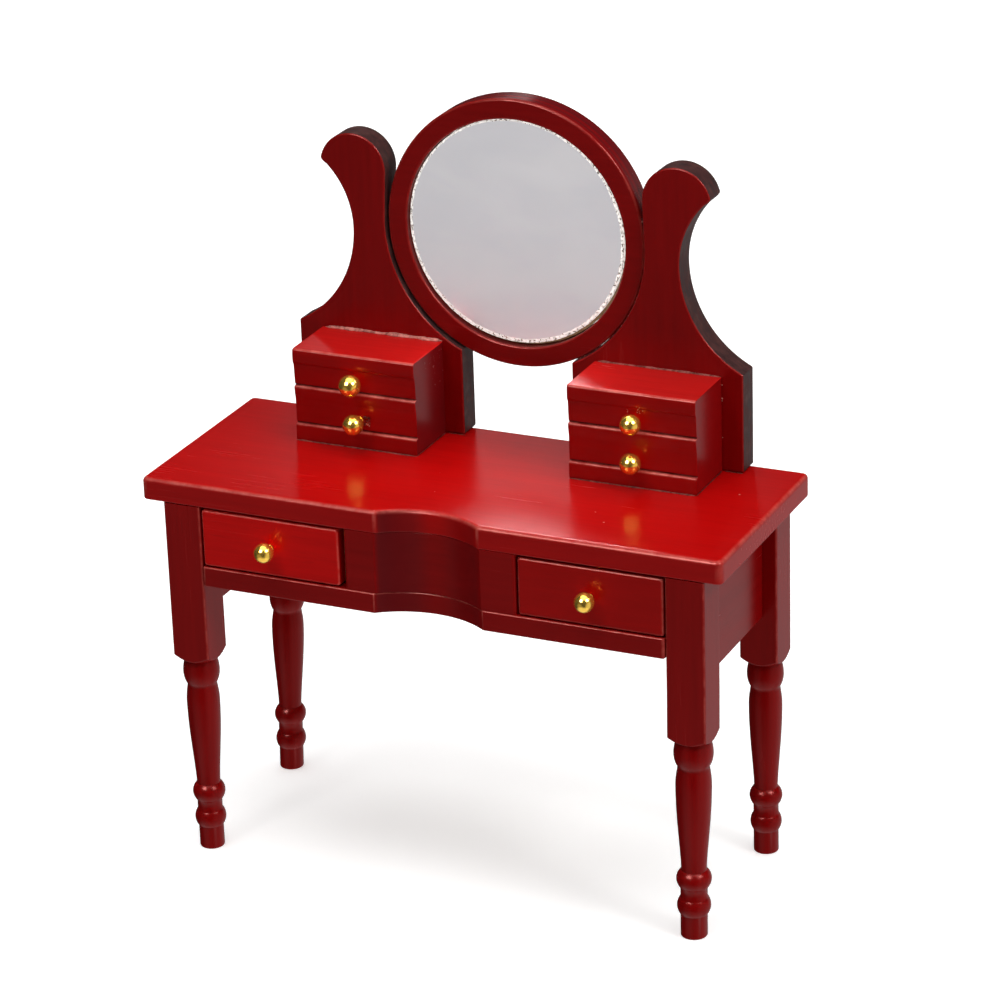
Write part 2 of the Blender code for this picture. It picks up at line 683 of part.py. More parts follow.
def build_mirror():
    """The ring, backing disc, mirror disc and two pins, which turn about the pins."""
    pivot = pivot_empty("mirror_pivot", at_depth(UPPER_SHIFT, PIVOT_DEPTH, MIRROR_Z))
    towards_sitter = (0, -1, 0)
    half = RING_THICKNESS / 2
    soft = RING_EDGE_ROUND
    small = soft * (1 - math.sqrt(0.5))
    ring_profile = [
        (RING_INNER + soft, half),
        (RING_OUTER - soft, half),
        (RING_OUTER - small, half - small),
        (RING_OUTER, half - soft),
        (RING_OUTER, -half + soft),
        (RING_OUTER - soft, -half),
        (RING_INNER, -half),
        (RING_INNER, half - soft),
        (RING_INNER + small, half - small),
    ]
    ring = turned("mirror_frame", ring_profile, MIRROR_STEPS, closed=True)
    lay_axis(ring, towards_sitter)
    ring.location = pivot.location
    for side in (LEFT, RIGHT):
        rim = pivot.location + Vector((side * RING_OUTER, 0, 0))
        bore(ring, rim, (-side, 0, 0), PIN_RADIUS + PIN_PLAY, PIN_IN_RING + GLUE_LINE)
    finish_piece(ring, DARK_STAIN, parent=pivot)

    glass_front = half - GLASS_SET_BACK
    glass_rear = glass_front - GLASS_THICKNESS
    glass_profile = [
        (0, glass_front),
        (GLASS_RADIUS - GLASS_CHAMFER, glass_front),
        (GLASS_RADIUS, glass_front - GLASS_CHAMFER / 2),
        (GLASS_RADIUS, glass_rear),
        (0, glass_rear),
    ]
    glass = turned("mirror_glass", glass_profile, MIRROR_STEPS)
    lay_axis(glass, towards_sitter)
    # The disc sits high in the ring, which leaves an open crescent below it.
    glass.location = pivot.location + Vector((0, 0, GLASS_RAISE))
    finish_piece(glass, SILVERED, 0.05, 1.0, pivot)

    back_front = glass_rear - GLUE_LINE
    back_rear = back_front - BACK_THICKNESS
    back_profile = [(0, back_front), (BACK_RADIUS, back_front), (BACK_RADIUS, back_rear), (0, back_rear)]
    back = turned("mirror_back", back_profile, MIRROR_STEPS)
    lay_axis(back, towards_sitter)
    back.location = pivot.location
    finish_piece(back, BARE_WOOD, 0.6, parent=pivot)

    pin_start = RING_OUTER - PIN_IN_RING
    pin_end = RING_OUTER + NOTCH_GAP + PIN_IN_UPRIGHT
    pin_profile = [(0, pin_end), (PIN_RADIUS, pin_end), (PIN_RADIUS, pin_start), (0, pin_start)]
    for side in (LEFT, RIGHT):
        pin = turned(f"pivot_pin_{SIDE_NAMES[side]}", pin_profile, PIN_STEPS)
        lay_axis(pin, (side, 0, 0))
        pin.location = pivot.location
        finish_piece(pin, BRASS, 0.2, 1.0, pivot)


def build_dressing_table():
    build_tabletop()
    build_front()
    build_carcase()
    build_leg(LEFT, "front", 0)
    build_leg(RIGHT, "front", 0, FRONT_RIGHT_LEAN, FRONT_RIGHT_STOUTNESS)
    build_leg(LEFT, "rear", REAR_LEG_DEPTH, REAR_LEFT_LEAN)
    build_leg(RIGHT, "rear", REAR_LEG_DEPTH)
    for side in (LEFT, RIGHT):
        build_drawer(side)
        build_cabinet(side)
        build_upright(side)
    build_mirror()


build_dressing_table()
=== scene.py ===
"""Dolls-house dressing table in red lacquer: the visual pieces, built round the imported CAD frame.

Metres, +Z up, +X to the sitter's right, -Y towards the sitter, as in the frame.
"""

import json
import math
import random

import bmesh
import bpy
from mathutils import Matrix, Vector, noise

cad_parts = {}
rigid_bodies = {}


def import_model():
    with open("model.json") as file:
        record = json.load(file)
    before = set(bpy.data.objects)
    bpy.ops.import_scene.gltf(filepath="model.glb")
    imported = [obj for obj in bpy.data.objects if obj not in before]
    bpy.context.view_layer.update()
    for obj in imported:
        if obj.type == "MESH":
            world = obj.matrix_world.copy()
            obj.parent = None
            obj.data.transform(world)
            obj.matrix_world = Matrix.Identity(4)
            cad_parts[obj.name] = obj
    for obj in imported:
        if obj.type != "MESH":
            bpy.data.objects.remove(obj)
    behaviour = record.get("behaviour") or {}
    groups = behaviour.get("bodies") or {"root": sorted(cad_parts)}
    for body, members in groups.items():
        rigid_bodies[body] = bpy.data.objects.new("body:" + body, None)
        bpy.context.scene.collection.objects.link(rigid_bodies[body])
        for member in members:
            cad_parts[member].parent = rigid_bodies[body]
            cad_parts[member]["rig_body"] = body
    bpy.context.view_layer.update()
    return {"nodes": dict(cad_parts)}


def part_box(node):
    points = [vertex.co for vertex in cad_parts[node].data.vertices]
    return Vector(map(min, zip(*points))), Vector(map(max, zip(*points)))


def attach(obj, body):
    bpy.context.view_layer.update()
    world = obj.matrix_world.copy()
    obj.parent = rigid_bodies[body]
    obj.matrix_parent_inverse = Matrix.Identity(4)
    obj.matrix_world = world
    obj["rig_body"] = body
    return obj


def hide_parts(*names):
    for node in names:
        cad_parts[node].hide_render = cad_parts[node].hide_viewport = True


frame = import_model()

MM = 0.001
SIDES = ("left", "right")
SANDING_SEED = 7

# Recess in the front of the top, the middle block and the rail
RECESS_DEPTH = 2.9 * MM
RECESS_STEPS = 28
# Half the recess's width, then the rounds and the shares of rubbing and painted highlight of the lower and
# upper arrises, then their steps
RECESSED_BOARDS = {
    "tabletop": (8.9 * MM, (0.22 * MM, 0.8 * MM), (0.15, 1.0), 6),
    "centre_block": (9.2 * MM, (0.04 * MM, 0.04 * MM), (0.0, 0.0), 2),
    "front_rail": (9.5 * MM, (0.25 * MM, 0.28 * MM), (0.4, 1.8), 4),
}
TOP_CORNER = 1.2 * MM
TOP_RECESS_CORNER = 1.4 * MM
FRONT_CORNER = 0.6 * MM
GLUE_FILL = 0.085 * MM
# The top's edges outside the recess are darkened a little.
TOP_EDGE_DARKENING = 0.25
# Shares of painted shade along the recess, from its left end at -1 to its right end at 1
RECESS_SHADES = (
    (-1.0, 0.05), (-0.93, 0.90), (-0.35, 0.60), (-0.05, 0.0),
    (0.18, 0.0), (0.38, 0.25), (0.9, 0.45), (1.0, 0.05),
)

# Legs: radii and heights of the turning
LEG_CORNER = 0.35 * MM
SHOULDER_HEIGHT = 1.6 * MM
BEAD_HIGH = 34.65 * MM
BEAD_LOW = 30.15 * MM
VASE_LOW = 11.8 * MM
VASE_PEAK = 0.82
UPPER_RING_LOW = 8.65 * MM
LOWER_RING_HIGH = 6.95 * MM
LOWER_RING_LOW = 3.95 * MM
BEAD_TOP_RADIUS = 2.65 * MM
BEAD_RADIUS = 3.03 * MM
WAIST_RADIUS = 2.4 * MM
VASE_RADIUS = 2.76 * MM
TAPER_RADIUS = 1.95 * MM
UPPER_RING_RADIUS = 2.72 * MM
LOWER_RING_RADIUS = 2.6 * MM
FOOT_RADIUS = 2.08 * MM
FOOT_ROUND = 0.25 * MM
BLANK_RADIUS = 4.75 * MM
TURNING_STEPS = 16
LEAN_START = 43.0 * MM
LEG_LEANS = {"leg_front_right": 0.35 * MM, "leg_rear_left": 1.1 * MM}
LEG_STOUTNESS = {"leg_front_right": 1.05}

# Cabinets: profile of the front, as heights above the underside and set-backs
NOSE_LOW = 13.3 * MM
NOSE_ROUND = 0.5 * MM
NOSE_BELLY = 0.05 * MM
RIDGES = (9.4 * MM, 2.8 * MM)
RIDGE_HEIGHT = 1.3 * MM
RIDGE_SET_BACK = 0.15 * MM
PANEL_SET_BACK = 0.45 * MM
GROOVE_SET_BACK = 0.7 * MM
GROOVE_HEIGHT = 0.35 * MM
CABINET_SLICES = 44
CABINET_EDGE = 0.14 * MM
# Painted shade on each cabinet's right end face, as a share of darkening.
END_SHADES = {"left": 0.75, "right": 0.35}

# Uprights: places measured from the mirror's middle
WAIST_X = 28.75 * MM
WAIST_Z = 100.8 * MM
LOWER_SCROLL_RADIUS = 19.0 * MM
UPPER_SCROLL_RADIUS = 14.9 * MM
HEAD_X = 28.4 * MM
HEAD_Z = 111.1 * MM
HEAD_RADIUS = 5.9 * MM
HEAD_END_ANGLE = 17.0
UPPER_SCROLL_END_ANGLE = 135.0
NOTCH_GAPS = {-1: 0.35 * MM, 1: 0.19 * MM}

# Mirror: the ring's side is given as levels, from -1 behind to 1 in front, with shares of darkening
RING_INNER = 19.2 * MM
RING_ROUND = 0.42 * MM
RING_ROUND_STEPS = 5
RING_SIDE = (
    (0.62, 0.45), (0.40, 1.0), (0.30, 0.40), (0.05, 0.45), (-0.10, 1.0), (-0.45, 0.75), (-0.70, 0.90),
)
GLASS_CHAMFER = 0.55 * MM
GLASS_STEPS = 260

# Knobs
NECK_RADIUS = 0.50 * MM
COLLAR_RADIUS = 0.70 * MM
COLLAR_THICKNESS = 0.15 * MM
COLLAR_BEVEL = 0.05 * MM
KNOB_PIN_RADIUS = 0.4 * MM
KNOB_NECKS = {"drawer": 0.30 * MM, "cabinet": 0.10 * MM, "cabinet_left_knob_lower": 0.60 * MM}

# Room: the boxes' azimuth, elevation, distance, size and radiance; the lobes' direction, spread and strength
FLOOR_HALF = 6.0
BACKDROP_RADIUS = 5.0
LIT_MIDDLE = Vector((0.0, 0.0, 0.06))
SOFT_BOXES = {
    "left_box": (-18.0, 45.0, 0.9, (0.15, 0.15), 11.0),
    "right_box": (74.0, 43.0, 0.9, (0.22, 0.22), 11.5),
    "left_shine": (-18.0, 42.0, 0.85, (0.36, 0.36), 37.0),
    "right_shine": (74.0, 42.0, 0.85, (0.34, 0.34), 26.0),
    "back_box": (204.5, 25.2, 0.73, (0.13, 0.09), 1.6),
}
SURROUND_LOBES = (
    ((-0.39, -0.84, -0.38), 27.0, 0.28),
    ((0.39, 0.84, -0.38), 34.0, 0.50),
    ((0.95, -0.10, -0.30), 40.0, 0.72),
    ((0.0, -0.30, -1.0), 42.0, 0.95),
)
SURROUND_BASE = 0.03

# Camera
CAMERA_PLACE = Vector((0.25336, -0.53240, 0.30684))
CAMERA_AZIMUTH = 24.99
CAMERA_ELEVATION = 22.48
CAMERA_ROLL = -1.857
CAMERA_LENS = 142.5

# Shades of the red lacquer: its deepest, its brightest, its rubbed arrises with painted highlight, and the
# ways its grain runs
STAINS = {
    "red": ((0.400, 0.0018, 0.0018), (0.530, 0.0028, 0.0026), (0.80, 0.190, 0.150), "x"),
    # A lighter copy with painted light, for the cabinets' tops.
    "bright": ((0.420, 0.0045, 0.0040), (0.560, 0.0070, 0.0060), (0.86, 0.230, 0.180), "x"),
    # A darker copy with painted shade, for the cabinets' fronts and ends and the right drawer's front.
    "shaded": ((0.310, 0.0014, 0.0014), (0.425, 0.0022, 0.0022), (0.80, 0.200, 0.160), "x"),
    # A lighter copy with painted light, for the left drawer's front.
    "fresh": ((0.520, 0.0016, 0.0018), (0.690, 0.0026, 0.0026), (0.86, 0.200, 0.160), "x"),
    "aged": ((0.215, 0.0014, 0.0018), (0.300, 0.0022, 0.0026), (0.62, 0.120, 0.095), "xyz"),
    "dark": ((0.222, 0.0018, 0.0024), (0.318, 0.0028, 0.0034), (0.50, 0.080, 0.062), "xz"),
}
# Painted shade: the dark red that the share of painted shade and darker tone mixes in.
SHADE_AND_TONE_COLOUR = (0.115, 0.0065, 0.0085)
LACQUER_TINT = (1.0, 0.42, 0.38)
LACQUER_ROUGHNESS = 0.24
EVEN = (1.0, 1.0, 1.0)
WHITE = (1.0, 1.0, 1.0)

BODY_OF = {node: obj["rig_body"] for node, obj in frame["nodes"].items()}


# ---- materials


def new_material(name):
    """A node material with its plain shader. Returns the material and its node tree."""
    material = bpy.data.materials.new(name)
    material.use_nodes = True
    return material, material.node_tree


def feed(tree, socket, value):
    """Give an input the output of a node, a number, a vector or an RGB triple."""
    if isinstance(value, bpy.types.NodeSocket):
        tree.links.new(value, socket)
    elif socket.type == "RGBA":
        socket.default_value = (*value, 1.0)
    else:
        socket.default_value = value


def add_node(tree, kind, inputs):
    """A new node with its named inputs given."""
    node = tree.nodes.new("ShaderNode" + kind)
    for name, value in inputs.items():
        feed(tree, node.inputs[name], value)
    return node


def shade(tree, inputs):
    """Give the shader its named inputs."""
    for name, value in inputs.items():
        feed(tree, tree.nodes["Principled BSDF"].inputs[name], value)


def place_texture(tree, stretch):
    """Object coordinates stretched by a number per axis."""
    coordinates = tree.nodes.new("ShaderNodeTexCoord")
    mapping = add_node(tree, "Mapping", {"Vector": coordinates.outputs["Object"], "Scale": stretch})
    return mapping.outputs["Vector"]


def noise_value(tree, stretch, scale, detail, roughness, distortion=0.0):
    """A noise value from 0 to 1, over coordinates stretched by a number per axis."""
    vector = place_texture(tree, stretch)
    fineness = {"Scale": scale, "Detail": detail, "Roughness": roughness, "Distortion": distortion}
    return add_node(tree, "TexNoise", {"Vector": vector, **fineness}).outputs["Fac"]


def remap(tree, value, low, high, new_low=0.0, new_high=1.0):
    """A value stretched from one range to another and clamped."""
    ranges = {"From Min": low, "From Max": high, "To Min": new_low, "To Max": new_high}
    return add_node(tree, "MapRange", {"Value": value, **ranges}).outputs["Result"]


def maths(tree, operation, first, second):
    """One arithmetic step. Each side is a socket or a number."""
    node = tree.nodes.new("ShaderNodeMath")
    node.operation = operation
    feed(tree, node.inputs[0], first)
    feed(tree, node.inputs[1], second)
    return node.outputs["Value"]


def times(tree, first, second):
    """A product of sockets or numbers."""
    return maths(tree, "MULTIPLY", first, second)


def total(tree, first, *others):
    """A sum of sockets and numbers."""
    for other in others:
        first = maths(tree, "ADD", first, other)
    return first


def mix_colour(tree, factor, first, second):
    """A mix of two colours. Each is a socket or an RGB triple."""
    node = tree.nodes.new("ShaderNodeMix")
    node.data_type = "RGBA"
    # The node has a pair of inputs for each kind of data, and the colours are 6 and 7.
    for index, value in ((0, factor), (6, first), (7, second)):
        feed(tree, node.inputs[index], value)
    return node.outputs[2]


def bumps(tree, *layers):
    """A normal from bumps laid one on another, each a height with its strength and distance."""
    normal = None
    for height, strength, distance in layers:
        node = add_node(tree, "Bump", {"Height": height, "Strength": strength, "Distance": distance})
        if normal:
            tree.links.new(normal, node.inputs["Normal"])
        normal = node.outputs["Normal"]
    return normal


def attribute(tree, name):
    """A number stored on the mesh."""
    node = tree.nodes.new("ShaderNodeAttribute")
    node.attribute_name = name
    return node.outputs["Fac"]


def grain(axis, along):
    """A texture stretch whose streaks run along one axis."""
    return tuple(along if name == axis else 1.0 for name in "xyz")


def dust(tree, cells, size, share):
    """Specks on the faces that look upwards."""
    spots = add_node(tree, "TexVoronoi", {"Vector": place_texture(tree, (1.0, 1.0, 0.0)), "Scale": cells})
    split = add_node(tree, "SeparateColor", {"Color": spots.outputs["Color"]})
    present = maths(tree, "LESS_THAN", split.outputs["Red"], share)
    radius = remap(tree, split.outputs["Green"], 0.0, 1.0, size * 0.4, size)
    inside = maths(tree, "LESS_THAN", spots.outputs["Distance"], radius)
    geometry = tree.nodes.new("ShaderNodeNewGeometry")
    normal = add_node(tree, "SeparateXYZ", {"Vector": geometry.outputs["True Normal"]})
    upward = maths(tree, "GREATER_THAN", normal.outputs["Z"], 0.9)
    return times(tree, times(tree, present, inside), upward)


def lacquer(name, axis, deep, bright, worn):
    """Red-stained wood under satin lacquer: streaked grain, uneven colour, arrises lightened by rubbing and
    painted highlight, painted shade from a share on the mesh, and dust.
    """
    material, tree = new_material(name)
    streaks = noise_value(tree, grain(axis, 0.05), 1300.0, 5.0, 0.6)
    figure = noise_value(tree, grain(axis, 0.10), 210.0, 4.0, 0.6, 0.4)
    pores = noise_value(tree, grain(axis, 0.05), 5200.0, 2.0, 0.5)
    clouds = noise_value(tree, EVEN, 42.0, 2.0, 0.5)
    chips = noise_value(tree, EVEN, 420.0, 4.0, 0.6)
    peel = noise_value(tree, EVEN, 420.0, 2.0, 0.5)
    specks = dust(tree, cells=330.0, size=0.060, share=0.26)
    tone = total(tree, times(tree, streaks, 0.35), times(tree, figure, 0.35), times(tree, clouds, 0.30))
    # Arrises lightened by rubbing and by painted highlight.
    wear = times(tree, attribute(tree, "wear"), remap(tree, chips, 0.36, 0.66, 0.12, 0.50))
    colour = mix_colour(tree, remap(tree, tone, 0.33, 0.67), deep, bright)
    in_pores = tuple(0.35 * channel for channel in deep)
    colour = mix_colour(tree, remap(tree, pores, 0.62, 0.74, 0.0, 0.22), colour, in_pores)
    # Painted shade and darker tone, from a share stored on the mesh.
    colour = mix_colour(tree, attribute(tree, "soot"), colour, SHADE_AND_TONE_COLOUR)
    colour = mix_colour(tree, wear, colour, worn)
    colour = mix_colour(tree, times(tree, specks, 0.50), colour, (0.80, 0.40, 0.33))
    smooth, rough = LACQUER_ROUGHNESS - 0.03, LACQUER_ROUGHNESS + 0.04
    gloss = remap(tree, total(tree, clouds, streaks), 0.7, 1.3, smooth, rough)
    shade(tree, {
        "Base Color": colour,
        "Roughness": total(tree, gloss, times(tree, specks, 0.4)),
        "Normal": bumps(tree, (streaks, 0.05, 0.02 * MM), (pores, 0.04, 0.01 * MM), (peel, 0.07, 0.03 * MM)),
        "Specular IOR Level": 0.2,
        "Specular Tint": LACQUER_TINT,
    })
    return material


def sawn_edge():
    """The cut edges of the thin boards: dark brown staining soaked into open grain."""
    material, tree = new_material("sawn_edge")
    layers = noise_value(tree, (0.25, 1.0, 0.25), 1900.0, 4.0, 0.65)
    blotch = noise_value(tree, EVEN, 420.0, 5.0, 0.6)
    colour = mix_colour(tree, remap(tree, layers, 0.35, 0.65), (0.026, 0.008, 0.008), (0.075, 0.018, 0.016))
    colour = mix_colour(tree, remap(tree, blotch, 0.50, 0.72, 0.0, 0.55), colour, (0.125, 0.045, 0.035))
    shade(tree, {
        "Base Color": colour,
        "Roughness": remap(tree, layers, 0.3, 0.7, 0.42, 0.66),
        "Normal": bumps(tree, (layers, 0.5, 0.06 * MM), (blotch, 0.35, 0.05 * MM)),
        "Specular IOR Level": 0.2,
    })
    return material


def bare_wood(name, axis):
    """Plain sanded light wood with darker growth lines and a few specks of red."""
    material, tree = new_material(name)
    lines = noise_value(tree, grain(axis, 0.045), 900.0, 5.0, 0.6, 0.3)
    fibres = noise_value(tree, grain(axis, 0.04), 4200.0, 3.0, 0.6)
    clouds = noise_value(tree, EVEN, 70.0, 3.0, 0.5)
    colour = mix_colour(tree, remap(tree, lines, 0.38, 0.66), (0.60, 0.41, 0.23), (0.38, 0.22, 0.10))
    colour = mix_colour(tree, remap(tree, fibres, 0.5, 0.75, 0.0, 0.4), colour, (0.28, 0.15, 0.07))
    colour = mix_colour(tree, times(tree, remap(tree, clouds, 0.56, 0.72), 0.30), colour, (0.45, 0.10, 0.06))
    colour = mix_colour(tree, times(tree, attribute(tree, "wear"), 0.35), colour, (0.70, 0.53, 0.34))
    shade(tree, {
        "Base Color": colour,
        "Roughness": remap(tree, fibres, 0.3, 0.7, 0.55, 0.78),
        "Normal": bumps(tree, (lines, 0.35, 0.05 * MM), (fibres, 0.45, 0.03 * MM)),
        "Specular IOR Level": 0.3,
    })
    return material


def brass():
    """Polished brass with hairline scratches and a little tarnish."""
    material, tree = new_material("polished_brass")
    tarnish = noise_value(tree, EVEN, 700.0, 5.0, 0.6)
    scratches = noise_value(tree, (1.0, 0.08, 1.0), 5200.0, 3.0, 0.7)
    dullness = remap(tree, tarnish, 0.4, 0.8, 0.11, 0.24)
    stained = remap(tree, tarnish, 0.52, 0.78, 0.0, 0.5)
    shade(tree, {
        "Base Color": mix_colour(tree, stained, (1.0, 0.63, 0.10), (0.76, 0.36, 0.04)),
        "Roughness": total(tree, dullness, times(tree, scratches, 0.05)),
        "Normal": bumps(tree, (scratches, 0.12, 0.01 * MM)),
        "Metallic": 0.86,
    })
    return material


def mirror_face():
    """The silvered face, faintly clouded. It glows faintly and evenly as painted light."""
    material, tree = new_material("mirror_face")
    clouds = noise_value(tree, (1.0, 1.0, 1.6), 75.0, 3.0, 0.5, 0.4)
    wipes = noise_value(tree, (0.3, 1.0, 1.0), 300.0, 3.0, 0.6)
    colour = mix_colour(tree, remap(tree, clouds, 0.35, 0.68), (0.85, 0.84, 0.875), (0.90, 0.885, 0.91))
    shade(tree, {
        "Base Color": colour,
        "Roughness": remap(tree, wipes, 0.3, 0.75, 0.335, 0.350),
        "Metallic": 1.0,
        # Painted light: a faint even glow.
        "Emission Color": colour,
        "Emission Strength": 0.15,
    })
    return material


def cut_glass():
    """The rough nibbled edge of the mirror: bright facets that glow as painted light, with dark chips."""
    material, tree = new_material("cut_glass_edge")
    chips = noise_value(tree, EVEN, 2600.0, 4.0, 0.75)
    colour = mix_colour(tree, remap(tree, chips, 0.49, 0.57), (0.98, 0.97, 0.92), (0.14, 0.12, 0.10))
    shade(tree, {
        "Base Color": colour,
        "Roughness": remap(tree, chips, 0.3, 0.7, 0.12, 0.45),
        "Normal": bumps(tree, (chips, 0.6, 0.08 * MM)),
        # Painted light: the edge glows.
        "Emission Color": colour,
        "Emission Strength": 0.85,
        "Metallic": 0.1,
    })
    return material


def old_glue():
    """Squeezed-out glue with staining and dust in it. A share stored on the mesh sets how pale it is."""
    material, tree = new_material("old_glue")
    cloud = noise_value(tree, EVEN, 1100.0, 4.0, 0.6)
    colour = mix_colour(tree, remap(tree, cloud, 0.40, 0.62), (0.070, 0.006, 0.006), (0.23, 0.026, 0.022))
    lift = times(tree, attribute(tree, "wear"), remap(tree, cloud, 0.38, 0.58, 0.30, 1.0))
    shade(tree, {
        "Base Color": mix_colour(tree, lift, colour, (0.74, 0.28, 0.23)),
        "Roughness": remap(tree, cloud, 0.3, 0.7, 0.25, 0.5),
        "Normal": bumps(tree, (cloud, 0.5, 0.06 * MM)),
        "Specular IOR Level": 0.2,
        "Specular Tint": LACQUER_TINT,
    })
    return material


MATERIALS = {
    f"{stain}_{axis}": lacquer(f"{stain}_lacquer_{axis}", axis, deep, bright, worn)
    for stain, (deep, bright, worn, axes) in STAINS.items()
    for axis in axes
}
MATERIALS.update({f"bare_{axis}": bare_wood(f"bare_wood_{axis}", axis) for axis in "xyz"})
MATERIALS["sawn"] = sawn_edge()
MATERIALS["brass"] = brass()
MATERIALS["mirror"] = mirror_face()
MATERIALS["glass_edge"] = cut_glass()
MATERIALS["glue"] = old_glue()


# ---- shape tools


def add_object(name, shape):
    """An object in the scene made from a bmesh, which is used up."""
    mesh = bpy.data.meshes.new(name)
    shape.to_mesh(mesh)
    shape.free()
    thing = bpy.data.objects.new(name, mesh)
    bpy.context.scene.collection.objects.link(thing)
    return thing


def settle(name, shape, node, slot, materials, sharp=40.0, weighted=True):
    """Turn a bmesh into a piece that rides with a node's body.

    A piece with a slot stands for the node. A mark has none.
    """
    bmesh.ops.recalc_face_normals(shape, faces=shape.faces)
    piece = add_object(name, shape)
    mesh = piece.data
    mesh.shade_smooth()
    mesh.set_sharp_from_angle(angle=math.radians(sharp))
    for edge in mesh.edges:
        edge.use_edge_sharp = edge.use_edge_sharp or edge.use_seam
    for material in materials:
        mesh.materials.append(MATERIALS[material])
    if weighted:
        normals = piece.modifiers.new("even shading", "WEIGHTED_NORMAL")
        normals.keep_sharp = True
    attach(piece, BODY_OF[node])
    if slot:
        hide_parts(node)


def arc(centre, radius, start, end, steps):
    """Points on a circle from one angle to another, in degrees."""
    points = []
    for step in range(steps + 1):
        angle = math.radians(start + (end - start) * step / steps)
        points.append((centre[0] + radius * math.cos(angle), centre[1] + radius * math.sin(angle)))
    return points


def turn_at(before, corner, after):
    """The unit directions into and out of a corner, and the angle turned there."""
    into = (Vector(corner) - Vector(before)).normalized()
    out = (Vector(after) - Vector(corner)).normalized()
    return into, out, into.angle(out)


def bend(start, middle, end, t):
    """A place on the curve from a start to an end that leans towards a middle."""
    return start.lerp(middle, t).lerp(middle.lerp(end, t), t)


def rounded(points, radius, steps):
    """An outline whose sharp corners are rounded. Each point comes back with its share of rubbing and painted
    highlight.

    The radius is one number, or a function of the corner.
    """
    outline = []
    count = len(points)
    for index, corner in enumerate(points):
        into, out, turned = turn_at(points[index - 1], corner, points[(index + 1) % count])
        if turned < math.radians(25.0):
            outline.append((*corner, 0.0))
            continue
        size = radius(corner) if callable(radius) else radius
        back = size * math.tan(turned / 2)
        start = Vector(corner) - into * back
        end = Vector(corner) + out * back
        for step in range(steps + 1):
            t = step / steps
            outline.append((*bend(start, Vector(corner), end, t), math.sin(math.pi * t)))
    return outline


def inset(outline, distance):
    """The outline moved inwards by a distance."""
    area = sum(a[0] * b[1] - b[0] * a[1] for a, b in zip(outline, outline[1:] + outline[:1]))
    side = 1.0 if area > 0 else -1.0
    moved = []
    count = len(outline)
    for index, (u, v, share) in enumerate(outline):
        into, out, turned = turn_at(outline[index - 1][:2], (u, v), outline[(index + 1) % count][:2])
        normal = Vector((-into.y - out.y, into.x + out.x)).normalized() * side
        reach = distance / max(math.cos(turned / 2), 0.5)
        moved.append((u + normal.x * reach, v + normal.y * reach, share))
    return moved


def loft(rings, fan_ends=False):
    """A bmesh skin over rings of (point, share of rubbing and painted highlight) or (point, that share, share
    of painted shade and darker tone) with equal counts.
    """
    shape = bmesh.new()
    wear = shape.verts.layers.float.new("wear")
    soot = shape.verts.layers.float.new("soot")
    rows = []
    for ring in rings:
        row = []
        for place, *shares in ring:
            vertex = shape.verts.new(place)
            vertex[wear] = shares[0]
            vertex[soot] = shares[1] if len(shares) > 1 else 0.0
            row.append(vertex)
        rows.append(row)
    for low, high in zip(rows, rows[1:]):
        for index in range(len(low)):
            following = (index + 1) % len(low)
            shape.faces.new((low[index], low[following], high[following], high[index]))
    caps = [shape.faces.new(rows[0][::-1]), shape.faces.new(rows[-1])]
    for cap in caps:
        for edge in cap.edges:
            edge.seam = True
    if fan_ends:
        # A middle point in each end keeps its triangles well shaped.
        bmesh.ops.poke(shape, faces=caps)
    return shape


def oval(middle, across, up, count, wear):
    """A ring of points about a middle, from its two half-axes."""
    ring = []
    for corner in range(count):
        angle = 2 * math.pi * corner / count
        ring.append((middle + across * math.cos(angle) + up * math.sin(angle), wear))
    return ring


def arris(face, size, side, steps):
    """Levels round an arris, from its face inwards: (level, inset, share of rubbing and painted highlight).
    The side is 1 or -1.
    """
    levels = []
    for step in range(steps + 1):
        angle = math.pi / 2 * step / steps
        level = face + side * size * (1 - math.cos(angle))
        levels.append((level, size * (1 - math.sin(angle)), math.sin(2 * angle) ** 3))
    return levels


# Vector noise is offset by the clock unless it is given a seed.
noise.seed_set(SANDING_SEED)


def slab(outline, ends, rounds, place, steps, wobble, soot=None, worn=(1.0, 1.0), fan=True):
    """A board: an outline lofted between two ends, with rounded arrises at both.

    The ends, the rounds and the shares of rubbing and painted highlight of the arrises are each given low,
    then high.
    place turns (u, v, level) into a point. The wobble is how far the faces stray, as by hand sanding. soot
    gives the share of painted shade and darker tone at a place on the sides.
    """
    levels = arris(ends[0], rounds[0], 1, steps) + arris(ends[1], rounds[1], -1, steps)[::-1]
    across = Vector(place(1.0, 1.0, 0.0))
    rings = []
    for index, (level, depth, wear) in enumerate(levels):
        at_cap = index in (0, len(levels) - 1)
        scale = worn[0] if index < len(levels) / 2 else worn[1]
        ring = []
        for u, v, corner in inset(outline, depth):
            point = Vector(place(u, v, level))
            if not at_cap:
                point += noise.noise_vector(point * 180.0) * across * wobble
            stain = soot(u, v) if soot and depth < 0.5 * max(rounds) else 0.0
            ring.append((point, 0.0 if at_cap else scale * max(wear, corner), stain))
        rings.append(ring)
    return loft(rings, fan)


